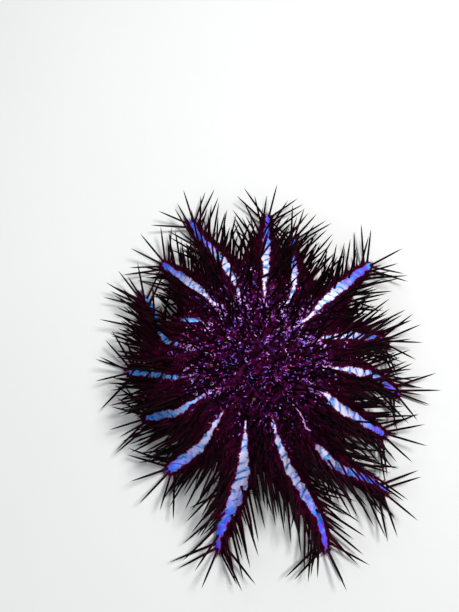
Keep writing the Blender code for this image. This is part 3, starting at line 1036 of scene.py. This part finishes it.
def laid(tree, paths):
    """Paths moved onto the skin, and the skin's normals along them."""
    spots, ups = np.empty_like(paths), np.empty_like(paths)
    for i, path in enumerate(paths):
        for j, wanted in enumerate(path):
            spots[i, j], ups[i, j] = tree.find_nearest(Vector(wanted))[:2]
    return spots, ups


def ridges(paths, normals, half_width, height):
    """Rounded ridges that lie on a surface, closed at both ends, in the form of turned shapes."""
    count, steps = paths.shape[:2]
    aside = unit(np.cross(unit(np.gradient(paths, axis=1)), normals))
    t = np.linspace(0, 1, steps)
    swell = np.maximum(np.sin(math.pi * (0.04 + 0.92 * t)), 0.0) ** 0.6
    angle = np.arange(FLECK_SIDES) * math.tau / FLECK_SIDES
    wide = np.cos(angle)[:, None] * (half_width[:, None] * swell)[:, :, None, None]
    high = np.sin(angle)[:, None] * (height[:, None] * swell)[:, :, None, None]
    body = paths[:, :, None] + aside[:, :, None] * wide + normals[:, :, None] * high
    points = np.concatenate((body.reshape(count, -1, 3), paths[:, (0, -1)]), axis=1)
    level = np.concatenate((np.repeat(t, FLECK_SIDES), [0.0, 1.0]))
    turn = np.concatenate((np.tile(np.arange(FLECK_SIDES) / FLECK_SIDES, steps), [0.5, 0.5]))
    return points, tube_faces(steps, FLECK_SIDES)[:, ::-1], level, turn


def rosettes(roots):
    """Broken rings round the feet of the disc's spines."""
    radius, upper = roots.radius(), roots.measure(Arm.under) < 0.3
    chosen = rng.uniform(0, 1, len(radius)) < (0.105 - radius) * 15
    feet = roots.points[upper & (radius < 0.092) & chosen]
    arcs = []
    for foot in feet:
        turn = rng.uniform(0, math.tau)
        for _ in range(rng.integers(2, 5)):
            spread = rng.uniform(0.5, 1.5)
            angle = turn + np.linspace(0, spread, ARC_POINTS)
            away = ROSETTE_RADIUS * rng.uniform(0.7, 1.25)
            arcs.append(foot + polar(angle, away, 0.0))
            turn += spread + rng.uniform(0.3, 1.4)
    return np.array(arcs)


def thread(arm):
    """A thin zigzag of short bits where a broken stripe has yet to widen."""
    start, end = STRIPES[arm.number][0], arm.tip_x
    x = np.arange(start, mix(start, end, THREAD_END + 0.03), THREAD_BIT)
    y = arm.side_shift(x) + arm.stripe_aside(x) + rng.uniform(-THREAD_SWAY, THREAD_SWAY, len(x))
    t = np.linspace(-0.08, 1.08, ARC_POINTS)[:, None]
    along, across = mix(x[:-1], x[1:], t), mix(y[:-1], y[1:], t)
    return arm.place(np.stack((along, across, np.full(along.shape, DISC_TOP)), -1)).transpose(1, 0, 2)


def fleck_weight(spots):
    points = spots.points
    under, edge, before = spots.measure(Arm.under, Arm.edge, Arm.before_stripe)
    up = (points[:, 1] - DISC_CENTRE[1]) / DISC_APOTHEM
    weight = ease(spots.radius(), 0.098, 0.048) * mix(0.15, 1.0, ease(up, -1.0, -0.3))
    weight *= mix(0.12, 1.0, ease(waves(points, 0.014, 9), -0.15, 0.20))
    weight += 3.0 * before
    return (under < 0.3) * (edge > 0.0008) * weight


def flecks(skin):
    """Short worm-like bits, most of them pointing away from the disc's centre."""
    spots = surface_spots(skin, FLECKS, fleck_weight)[0].points
    way = unit((spots - DISC_CENTRE) * (1, 1, 0))
    way = unit(way + rng.normal(scale=0.55, size=way.shape) * (1, 1, 0))
    aside = np.cross(way, (0, 0, 1))
    long = FLECK_LENGTH * rng.uniform(0.4, 1.0, FLECKS) ** 2 * 2.4
    bow = rng.uniform(-0.35, 0.35, FLECKS) * long
    t = np.linspace(-0.5, 0.5, ARC_POINTS)
    run = way[:, None] * (t[:, None] * long[:, None, None])
    wave = rng.uniform(-0.28, 0.28, FLECKS) * long
    off = 4 * t * t * bow[:, None] + np.sin(math.tau * t) * wave[:, None]
    return spots[:, None] + run + aside[:, None] * off[:, :, None]


def fleck_looks(middle, threaded):
    """How blue each mark is, and how bright: bright at random, in clusters and before each stripe,
    and with painted light, brighter towards the disc's +y and +x sides.
    """
    count, points = len(threaded), middle.points
    aside = (points[:, :2] - DISC_CENTRE[:2]) / DISC_APOTHEM
    inner = ease(np.linalg.norm(aside + (0.1, 0.15), axis=1), 0.60, 0.25)
    tint = rng.normal(0.48, 0.24, count) + waves(points, 0.024, 4) * 0.25 + 0.18 * inner
    # Painted light: marks brighter towards +y and +x of the disc; the waves give bright clusters, and
    # the marks before each stripe are brighter in their own right.
    painted_light_and_clusters = aside[:, 1] * 0.20 + aside[:, 0] * 0.08 + waves(points, 0.017, 7) * 0.42 - 0.02
    painted_light_and_clusters += 0.8 * middle.measure(Arm.before_stripe)
    glow = np.clip(rng.uniform(0, 1, count) ** 1.5 + painted_light_and_clusters, 0, 1)
    return np.where(threaded, 0.2, np.clip(tint, 0, 1)), np.where(threaded, 0.9, glow)


def make_flecks(skin, tree, roots, material):
    """The bright marks of the disc, raised a little above the papulae."""
    line, rings, bits = thread(arms[BROKEN_STRIPE]), rosettes(roots), flecks(skin)
    paths, normals = laid(tree, np.concatenate((line, rings, bits)))
    threaded = np.arange(len(paths)) < len(line)
    wide = np.where(threaded, THREAD_HALF_WIDTH, FLECK_HALF_WIDTH)
    spread = rng.uniform(0.7, 1.35, len(paths))
    wide = wide * (spread * np.where(rng.uniform(0, 1, len(paths)) < BROAD_FLECKS, BROADER, 1.0))
    middle = Spots(paths[:, ARC_POINTS // 2])
    keep = (middle.measure(Arm.edge) > 0.0006) | threaded
    middle = Spots(middle.points[keep], middle.owners[keep])
    paths, normals, wide, threaded = (part[keep] for part in (paths, normals, wide, threaded))
    high = np.where(threaded, THREAD_HEIGHT, wide * rng.uniform(2.2, 3.2, len(paths)))
    tint, glow = fleck_looks(middle, threaded)
    shapes = ridges(paths, normals, wide, high)
    coat("flecks", shapes, middle, material, "disc_skin", tone=tint, glow=glow)


# Underside


def groove_row(arm, across, spacing, start):
    """Places along both sides of the groove under an arm, and the ways away from it and ahead."""
    steps = np.arange(start, arm.tip_x - TIP_CLEAR, spacing)
    x = np.concatenate((steps, steps + spacing / 2))
    x = x[x < arm.tip_x - TIP_CLEAR]
    side = np.where(np.arange(len(x)) < len(steps), 1.0, -1.0)
    offset = side * across * arm.room(x)
    turn = arm.turn(x)
    deep = np.minimum(GROOVE_DEPTH, GROOVE_SHARE * (arm.top(x) - arm.sole(x)))
    z = arm.sole(x) + deep * np.clip(1 - across / 0.30, 0, 1)
    local = np.stack((x - offset * np.sin(turn), arm.side_shift(x) + offset * np.cos(turn), z), -1)
    ahead, left = level_ways(arm.azimuth + turn)
    return arm.place(local), left * side[:, None], ahead


def groove_rows(across, spacing, start):
    """The rows under all arms, where across is the share of the half width that they keep from
    the groove's middle, and start how far out they begin."""
    found = [groove_row(arm, across, spacing, start) for arm in arms]
    return (np.concatenate(rows) for rows in zip(*found))


def grow_below(name, material, places, ways, length, radius, form):
    """A coat under the animal. Its shapes vary, end short of the floor, and are left out where the
    room is too small for one."""
    ways = unit(ways + rng.normal(scale=0.13, size=ways.shape))
    room = np.maximum(places[:, 2] - FLOOR_ROOM, 0.0) / np.maximum(-ways[:, 2], 1e-6)
    lengths = np.minimum(length * rng.uniform(0.75, 1.1, len(places)), room)
    keep = lengths > SHORTEST
    places, ways, lengths = places[keep], ways[keep], lengths[keep]
    thick = radius * rng.uniform(0.85, 1.15, len(places))
    grow(name, material, Spots(places), ways, lengths, thick, form)


def make_tube_feet(material):
    places, aside, ahead = groove_rows(0.10, FOOT_SPACING, FEET_FROM)
    ways = DOWN + aside * 0.30 + ahead * rng.normal(scale=0.22, size=(len(places), 1))
    grow_below("tube_feet", material, places, ways, FOOT_LENGTH, FOOT_RADIUS, TUBE_FOOT)


def make_furrow_spines(material):
    """Two rows of blunt spines on each side of a groove: one bent over it, one standing out."""
    rows = []
    for across, lean, length in ((0.33, -0.75, FURROW_SPINE), (0.50, 0.35, OUTER_FURROW_SPINE)):
        places, aside, _ = groove_rows(across, FOOT_SPACING * 0.75, FURROW_FROM)
        rows.append((places, DOWN + aside * lean, np.full(len(places), length)))
    places, ways, lengths = (np.concatenate(row) for row in zip(*rows))
    grow_below("furrow_spines", material, places, ways, lengths, FURROW_RADIUS, OVER_GROOVE)


def under_weight(spots):
    under, sideways = spots.measure(Arm.under, Arm.sideways)
    clear = (np.abs(sideways) > 0.58) * (spots.radius() > 0.02)
    return (under > 0.6) * clear * (spots.points[:, 2] > 0.003)


def make_under_spines(skin, material):
    """Short blunt spines over the rest of the underside."""
    spots, normals = surface_spots(skin, UNDER_SPINES, under_weight)
    radius = FURROW_RADIUS * 1.15
    grow_below("under_spines", material, spots.points, normals, UNDER_SPINE, radius, UNDERNEATH)


def make_lips(material):
    """The puckered ring round the mouth."""
    angle = np.arange(LIP_STEPS) * math.tau / LIP_STEPS
    turn = np.arange(LIP_SIDES) * math.tau / LIP_SIDES
    thick = LIP_THICKNESS * (1 + LIP_PUCKER * np.cos(angle * len(ARMS)))
    radius = LIP_RADIUS + thick[:, None] * np.cos(turn)
    z = disc_sole(LIP_RADIUS / DISC_APOTHEM) - 0.0004 + thick[:, None] * np.sin(turn)
    ring = polar(angle[:, None], radius, z)
    a = np.arange(LIP_STEPS * LIP_SIDES).reshape(LIP_STEPS, LIP_SIDES)
    b = np.roll(a, -1, axis=1)
    c, d = np.roll(a, -1, axis=0), np.roll(b, -1, axis=0)
    faces = np.concatenate((np.stack((a, c, d), -1), np.stack((a, d, b), -1))).reshape(-1, 3)
    level, turn = np.repeat(angle / math.tau, LIP_SIDES), np.tile(turn / math.tau, LIP_STEPS)
    shapes = (ring.reshape(1, -1, 3) + DISC_CENTRE, faces, level, turn)
    spot = Spots(np.array([DISC_CENTRE + (0.0, 0.004, disc_sole(0.0))]))
    coat("lips", shapes, spot, material, "disc_skin", tone=np.array([0.5]))


# Small organs


def make_madreporites(tree, material):
    """The sieve plates, small domes among the disc's spines."""
    found = []
    for i in range(MADREPORITES):
        angle = math.tau * (i + rng.uniform(0.1, 0.7)) / MADREPORITES
        radius = rng.uniform(MADREPORITES_FROM, MADREPORITES_TO)
        above = Vector(DISC_CENTRE) + Vector(polar(angle, radius, 0.12))
        found.append(tree.ray_cast(above, Vector((0, 0, -1)))[:2])
    places, normals = (np.array(rows) for rows in zip(*found))
    high, wide = MADREPORITE_RADIUS * 0.75, MADREPORITE_RADIUS * rng.uniform(0.85, 1.15, MADREPORITES)
    grow("madreporites", material, Spots(places), normals, high, wide, PLATE, "disc_skin")


def at_tips(inward, high, asides, spread, rise):
    """Places by each arm's tip, that far inward and that high over the sole, and the ways out from
    them. Each of asides is both a share of spread to the side and the angle that the way turns."""
    places, ways = [], []
    for arm in arms:
        x = arm.tip_x
        heading = arm.azimuth + float(arm.turn(x))
        for aside in asides:
            shift = float(arm.side_shift(x)) + aside * spread
            places.append(arm.place((x - inward, shift, float(arm.sole(x)) + high)))
            ways.append(polar(heading + aside, 1.0, rise))
    return np.array(places), np.array(ways)


def make_eyes(material):
    """The red eye spot at each arm's tip."""
    places, ways = at_tips(inward=0.0004, high=0.0016, asides=(0.0,), spread=0.0, rise=0.25)
    grow("eye_spots", material, Spots(places), unit(ways), EYE_RADIUS * 1.3, EYE_RADIUS, EYE)


def make_feelers(material):
    """The slim tube feet that reach out past each arm's tip."""
    asides = (-0.5, 0.0, 0.5)
    places, ways = at_tips(inward=0.0010, high=0.0022, asides=asides, spread=0.0022, rise=0.35)
    ways = unit(ways + rng.normal(scale=0.12, size=ways.shape))
    lengths = rng.uniform(0.003, 0.0048, len(places))
    grow("tip_feelers", material, Spots(places), ways, lengths, FOOT_RADIUS * 0.7, FEELER)


# Materials


class Value:
    """A node's output, which Python's signs take further through Math nodes."""

    def __init__(self, nodes, socket):
        self.nodes, self.socket = nodes, socket

    def __add__(self, other):
        return self.nodes.math("ADD", self, other)

    def __sub__(self, other):
        return self.nodes.math("SUBTRACT", self, other)

    def __rsub__(self, other):
        return self.nodes.math("SUBTRACT", other, self)

    def __mul__(self, other):
        return self.nodes.math("MULTIPLY", self, other)

    def step(self, low, high, start=0.0, end=1.0):
        """Eased from start where this is low to end where it is high."""
        inputs = {"Value": self, "From Min": low, "From Max": high, "To Min": start, "To Max": end}
        return self.nodes.add("ShaderNodeMapRange", inputs, interpolation_type="SMOOTHSTEP")


class Nodes:
    """Builds one material's nodes: each call adds a node and returns its output."""

    def __init__(self, name):
        self.material = bpy.data.materials.new(name)
        self.material.use_nodes = True
        self.tree = self.material.node_tree

    def put(self, socket, value):
        """A number or colour set on the socket itself, or a node's output linked to it."""
        if isinstance(value, Value):
            self.tree.links.new(value.socket, socket)
        else:
            socket.default_value = value

    def add(self, kind, inputs, output=0, **settings):
        node = self.tree.nodes.new(kind)
        for key, value in settings.items():
            setattr(node, key, value)
        for key, value in inputs.items():
            self.put(node.inputs[key], value)
        return Value(self, node.outputs[output])

    def value(self, name):
        return self.add("ShaderNodeAttribute", {}, "Fac", attribute_name=name)

    def vector(self, name):
        return self.add("ShaderNodeAttribute", {}, "Vector", attribute_name=name)

    def place(self):
        return self.add("ShaderNodeTexCoord", {}, "Object")

    def math(self, operation, first, second=0.0):
        return self.add("ShaderNodeMath", {0: first, 1: second}, operation=operation)

    def noise(self, vector, scale, detail=2.0, roughness=0.5):
        inputs = {"Vector": vector, "Scale": scale, "Detail": detail, "Roughness": roughness}
        return self.add("ShaderNodeTexNoise", inputs, "Fac")

    def mix(self, share, first, second):
        """From the first colour to the second."""
        first, second = (c if isinstance(c, Value) else (*c, 1.0) for c in (first, second))
        return self.add("ShaderNodeMix", {0: share, 6: first, 7: second}, 2, data_type="RGBA")

    def bump(self, height, distance):
        inputs = {"Height": height, "Distance": distance, "Strength": 1.0}
        return self.add("ShaderNodeBump", inputs)

    def finish(self, **values):
        """The material, with these values on its shader."""
        shader = self.tree.nodes["Principled BSDF"]
        for key, value in values.items():
            self.put(shader.inputs[key.replace("_", " ")], value)
        return self.material


MAROON = (0.056, 0.0008, 0.016)
DARK_MAROON = (0.0060, 0.0003, 0.0025)
WINE = (0.050, 0.0005, 0.018)
DARK_PURPLE = (0.0036, 0.0001, 0.0030)
MAGENTA = (0.110, 0.002, 0.072)
VIOLET = (0.036, 0.010, 0.130)
PURPLE = (0.190, 0.020, 0.270)
PALE_PINK = (0.640, 0.220, 0.480)
SHADED = (0.016, 0.360, 1.000)
BLUE = (0.050, 0.150, 0.800)
LILAC = (0.300, 0.110, 0.720)
PINK = (0.620, 0.060, 0.280)
LAVENDER = (0.700, 0.690, 1.000)
PALE_LILAC = (0.680, 0.430, 0.900)
STRIPE_BLUE = (0.085, 0.070, 0.780)
DEEP_BLUE = (0.020, 0.014, 0.520)
SKY = (0.020, 0.300, 0.860)
TEAL = (0.008, 0.140, 0.460)
FRINGE = (0.300, 0.010, 0.070)
ORAL = (0.300, 0.200, 0.150)
ORAL_VIOLET = (0.120, 0.060, 0.130)
# Spines: the two tones of the shaft's lower and upper parts, and the tip.
LOWER_SHAFT = ((0.0060, 0.0003, 0.0024), (0.0230, 0.0006, 0.0075))
UPPER_SHAFT = ((0.0018, 0.0006, 0.0010), (0.0060, 0.0010, 0.0022))
SPINE_TIP = (0.030, 0.008, 0.008)
# Pale parts: two tones, and the tip.
FEET = ((0.30, 0.15, 0.09), (0.62, 0.42, 0.26), (0.42, 0.20, 0.10))
ORAL_SPINES = ((0.10, 0.030, 0.050), (0.30, 0.16, 0.14), (0.40, 0.22, 0.14))
LIPS = ((0.16, 0.05, 0.06), (0.36, 0.18, 0.15), (0.30, 0.14, 0.12))
FEELERS = ((0.05, 0.008, 0.02), (0.12, 0.03, 0.05), (0.20, 0.08, 0.06))
FURROWED_OCHRE = ((0.060, 0.014, 0.012), (0.260, 0.090, 0.035))
EYE_REDS = ((0.420, 0.020, 0.008), (0.760, 0.085, 0.020))
FLOOR_GREYS = ((0.56, 0.56, 0.55), (0.61, 0.61, 0.60))


def flesh_colour(n, spot, reach, streak):
    """The dark velvet between the stripes: maroon streaks on the arms, mottled on the disc, where
    near-black pools are painted shade.
    """
    lines, broad = n.noise(streak, 430.0, 3.0, 0.6), n.noise(spot, 60.0, 3.0)
    tone = lines + (broad - 0.5) * 0.6
    disc = reach.step(0.66, 0.30)
    dark, light = n.mix(disc, DARK_MAROON, DARK_PURPLE), n.mix(disc, MAROON, WINE)
    colour = n.mix(tone.step(0.38, 0.68), dark, light)
    # Painted shade: near-black pools on the disc, where shade falls between its spines.
    painted_shade_pool = n.noise(spot, 130.0).step(0.56, 0.45) * disc
    colour = n.mix(painted_shade_pool * 0.95, colour, DARK_PURPLE)
    rich = n.noise(spot, 320.0).step(0.52, 0.72) * (disc * 0.50 + 0.15)
    colour = n.mix(rich, colour, MAGENTA)
    violet = n.noise(spot, 210.0).step(0.56, 0.70) * (disc * 0.7)
    return n.mix(violet * (1.0 - painted_shade_pool), colour, VIOLET)


def ragged_edge(n, spot, along, across):
    """The bare stripe's edge, scalloped and ragged, and cut aslant where the stripe is torn."""
    scallops = (n.noise(spot, 210.0, 1.0) - 0.5) * 0.0044
    ragged = (n.noise(spot, 700.0, 2.0, 0.6) - 0.5) * 0.0016
    edge = n.value("edge") + (scallops + ragged) + n.value("pink") * 0.0013
    cut = n.math("SINE", (along - across) * 440.0 + n.noise(spot, 60.0, 1.0) * 9.0)
    return edge + cut.step(0.55, 0.85) * n.value("torn") * 0.009


def band_colour(n, spot, reach, fold):
    """The bare stripe: pale lavender near the disc, blue-violet at the tip, crossed by folds, with
    painted shade turning it a shaded blue on the arms on the shaded side.
    """
    blotch, cool_hue_and_painted_shade = n.noise(spot, 170.0, 3.0), n.value("cool_hue_and_painted_shade")
    # Painted shade also makes the blue begin nearer the disc on the arms on the shaded side.
    outer = (reach - cool_hue_and_painted_shade * 0.14 + blotch * 0.28).step(0.66, 0.98)
    band = n.mix(outer, LAVENDER, STRIPE_BLUE)
    band = n.mix(blotch.step(0.54, 0.74, 0.0, 0.4), band, STRIPE_BLUE)
    # Painted shade: the stripes of the arms on the shaded side turn a shaded blue.
    shade = cool_hue_and_painted_shade.step(0.65, 1.0, 0.0, 0.97) * blotch.step(0.25, 0.55)
    band = n.mix(shade, band, SHADED)
    band = n.mix(n.value("pink"), band, PALE_PINK)
    band = n.mix((reach + blotch * 0.12).step(0.98, 1.07), band, DEEP_BLUE)
    crease = fold.step(-0.25, 0.70) * n.noise(spot, 90.0, 1.0).step(0.40, 0.58)
    return n.mix(crease * 0.85, band, SKY)


def skin_material():
    n = Nodes("starfish_skin")
    spot, reach, along, across = n.vector("spot"), n.value("reach"), n.value("along"), n.value("across")
    edge = ragged_edge(n, spot, along, across)
    stripe, rim = edge.step(0.00020, -0.00025), n.math("ABSOLUTE", edge).step(0.0009, 0.0)
    slant = across * 420.0 + n.noise(spot, 75.0) * 11.0
    fold = n.math("SINE", along * 640.0 + slant)
    furrow = fold.step(0.66, 0.96) * n.noise(spot, 130.0, 1.0).step(0.42, 0.54)
    band = n.mix(furrow * 0.85, band_colour(n, spot, reach, fold), TEAL)
    colour = n.mix(stripe, flesh_colour(n, spot, reach, n.vector("streak")), band)
    colour = n.mix(rim * 0.6, colour, FRINGE)
    below = n.mix(n.noise(spot, 120.0, 3.0).step(0.4, 0.62), ORAL_VIOLET, ORAL)
    colour = n.mix(n.value("under"), colour, below)
    grain = n.noise(spot, 900.0, 3.0, 0.6)
    normal = n.bump(grain - furrow * stripe * 1.6, 0.00035)
    rough = grain.step(0.3, 0.7, 0.42, 0.62) + stripe.step(1.0, 0.0, 0.0, 0.35)
    return n.finish(Base_Color=colour, Normal=normal, Roughness=rough, Specular_IOR_Level=0.04)


def grained(n, colour, grain, distance, smoothest, roughest, **values):
    """The finished material, with the grain in its bump and its roughness."""
    rough = grain.step(0.3, 0.7, smoothest, roughest)
    return n.finish(Base_Color=colour, Normal=n.bump(grain, distance), Roughness=rough, **values)


def papula_material():
    n = Nodes("papulae")
    colour = flesh_colour(n, n.vector("spot"), n.value("reach"), n.vector("streak"))
    colour = n.mix(n.value("tone").step(0.60, 1.0, 0.0, 0.35), colour, MAGENTA)
    colour = n.mix(n.value("level").step(0.5, 0.0, 0.0, 0.7), colour, DARK_MAROON)
    grain = n.noise(n.place(), 2500.0)
    return grained(n, colour, grain, 0.00008, 0.5, 0.75, Specular_IOR_Level=0.015)


def spine_material():
    n = Nodes("spines")
    level, black, place = n.value("level"), n.value("black"), n.place()
    grain = n.noise(place, 1400.0, 3.0, 0.6)
    tone = n.value("tone").step(0.1, 0.9)
    blend = level + n.noise(place, 260.0) * 0.25 + black * 0.6
    shaft = n.mix(blend.step(0.34, 0.68), n.mix(tone, *LOWER_SHAFT), n.mix(tone, *UPPER_SHAFT))
    foot = n.mix(grain.step(0.4, 0.65), DARK_MAROON, MAROON)
    colour = n.mix((level + black * 0.12).step(0.15, 0.25), foot, shaft)
    colour = n.mix(level.step(0.86, 1.0, 0.0, 0.4), colour, SPINE_TIP)
    return grained(n, colour, grain, 0.00012, 0.42, 0.62, Specular_IOR_Level=0.035)


def pale_material(name, dark, light, tip):
    """Soft pale parts, with a tint at the tip."""
    n = Nodes(name)
    grain = n.noise(n.place(), 1100.0, 3.0, 0.6)
    colour = n.mix((grain + n.value("tone") * 0.4).step(0.45, 0.85), dark, light)
    colour = n.mix(n.value("level").step(0.70, 0.92), colour, tip)
    return grained(n, colour, grain, 0.00012, 0.42, 0.62)


def sieve_material():
    """Ochre plates crossed by fine wandering furrows."""
    n = Nodes("madreporites")
    furrow = n.math("SINE", n.noise(n.place(), 900.0, 1.0) * 26.0).step(-0.3, 0.7)
    colour, rough = n.mix(furrow, *FURROWED_OCHRE), furrow.step(0.0, 1.0, 0.6, 0.42)
    return n.finish(Base_Color=colour, Normal=n.bump(furrow, 0.0003), Roughness=rough)


def eye_material():
    n = Nodes("eye_spots")
    grain = n.noise(n.place(), 2600.0)
    return grained(n, n.mix(grain.step(0.4, 0.6), *EYE_REDS), grain, 0.0001, 0.25, 0.4)


def fleck_material():
    n = Nodes("flecks")
    tone, glow, place = n.value("tone"), n.value("glow"), n.place()
    # The marks' own hue, from lilac to blue.
    cool_hue_and_painted_shade = n.mix(tone.step(0.66, 0.84), LILAC, BLUE)
    colour = n.mix(tone.step(0.20, 0.38), PINK, cool_hue_and_painted_shade)
    # Paler where a mark is brighter, duller and then maroon where it is dimmer: in part each mark's own
    # tone, in part painted light and shade across the disc.
    colour = n.mix(glow.step(0.66, 1.0, 0.0, 0.9), colour, PALE_LILAC)
    dim = n.noise(place, 500.0) * 0.5 + glow
    dull = n.mix(tone.step(0.35, 0.60), MAGENTA, PURPLE)
    colour = n.mix(dim.step(0.95, 0.45, 0.0, 0.95), colour, dull)
    colour = n.mix(dim.step(0.42, 0.20, 0.0, 0.8), colour, MAROON)
    return grained(n, colour, n.noise(place, 1500.0), 0.00012, 0.32, 0.5, Specular_IOR_Level=0.35)


# Stage

FLOOR = 12.0
AIM = (0, 0, 0.04)
# The photo's height and its lens in pixels, how steeply it looks down, and where it was taken
# from, measured from the floor under the disc's centre.
FRAME_HEIGHT = 612
FOCAL_PIXELS = 470
CAMERA_PITCH = 76
CAMERA_PLACE = (-0.0225, -0.059, 0.504)


def pale_floor():
    n = Nodes("pale_floor")
    place = n.place()
    colour = n.mix(n.noise(place, 3.0, 4.0), *FLOOR_GREYS)
    material = n.finish(Base_Color=colour, Roughness=n.noise(place, 60.0).step(0.3, 0.7, 0.75, 0.9))
    corners = [(-FLOOR, -FLOOR, 0), (FLOOR, -FLOOR, 0), (FLOOR, FLOOR, 0), (-FLOOR, FLOOR, 0)]
    floor = mesh_object("floor", np.array(corners, float), [(0, 1, 2, 3)])
    floor.data.materials.append(material)


def soft_light(name, place, size, power, colour=(1, 1, 1)):
    data = bpy.data.lights.new(name, "AREA")
    data.shape = "DISK"
    data.size = size
    data.energy = power
    data.color = colour
    light = linked(name, data)
    light.location = place
    light.rotation_euler = (Vector(AIM) - Vector(place)).to_track_quat("-Z", "Y").to_euler()


def studio():
    soft_light("key", (0.50, 0.35, 1.3), 0.35, 25)
    soft_light("fill", (-0.7, -0.8, 1.0), 0.8, 6, (0.92, 0.96, 1.0))
    soft_light("back", (-0.5, 1.1, 0.9), 0.6, 5, (0.96, 0.97, 1.0))
    world = bpy.data.worlds.new("studio")
    world.use_nodes = True
    background = world.node_tree.nodes["Background"]
    background.inputs["Color"].default_value = (0.85, 0.88, 0.92, 1)
    background.inputs["Strength"].default_value = 0.28
    bpy.context.scene.world = world
    bpy.context.scene.view_settings.view_transform = "Standard"


def camera():
    data = bpy.data.cameras.new("camera")
    data.sensor_width = 36
    data.lens = FOCAL_PIXELS / FRAME_HEIGHT * data.sensor_width
    data.clip_start = 0.01
    eye = linked("camera", data)
    eye.location = Vector(DISC_CENTRE) + Vector(CAMERA_PLACE)
    eye.rotation_euler = (math.radians(90 - CAMERA_PITCH), 0, 0)
    bpy.context.scene.camera = eye


def build():
    skin = make_skin(skin_material())
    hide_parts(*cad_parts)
    tree = BVHTree.FromObject(skin, bpy.context.evaluated_depsgraph_get())
    roots = make_spines(skin, tree, spine_material())
    make_papulae(skin, papula_material())
    make_flecks(skin, tree, roots, fleck_material())
    make_tube_feet(pale_material("tube_feet", *FEET))
    oral = pale_material("oral_spines", *ORAL_SPINES)
    make_furrow_spines(oral)
    make_under_spines(skin, oral)
    make_lips(pale_material("lips", *LIPS))
    make_madreporites(tree, sieve_material())
    make_eyes(eye_material())
    make_feelers(pale_material("tip_feelers", *FEELERS))
    pale_floor()
    studio()
    camera()


build()
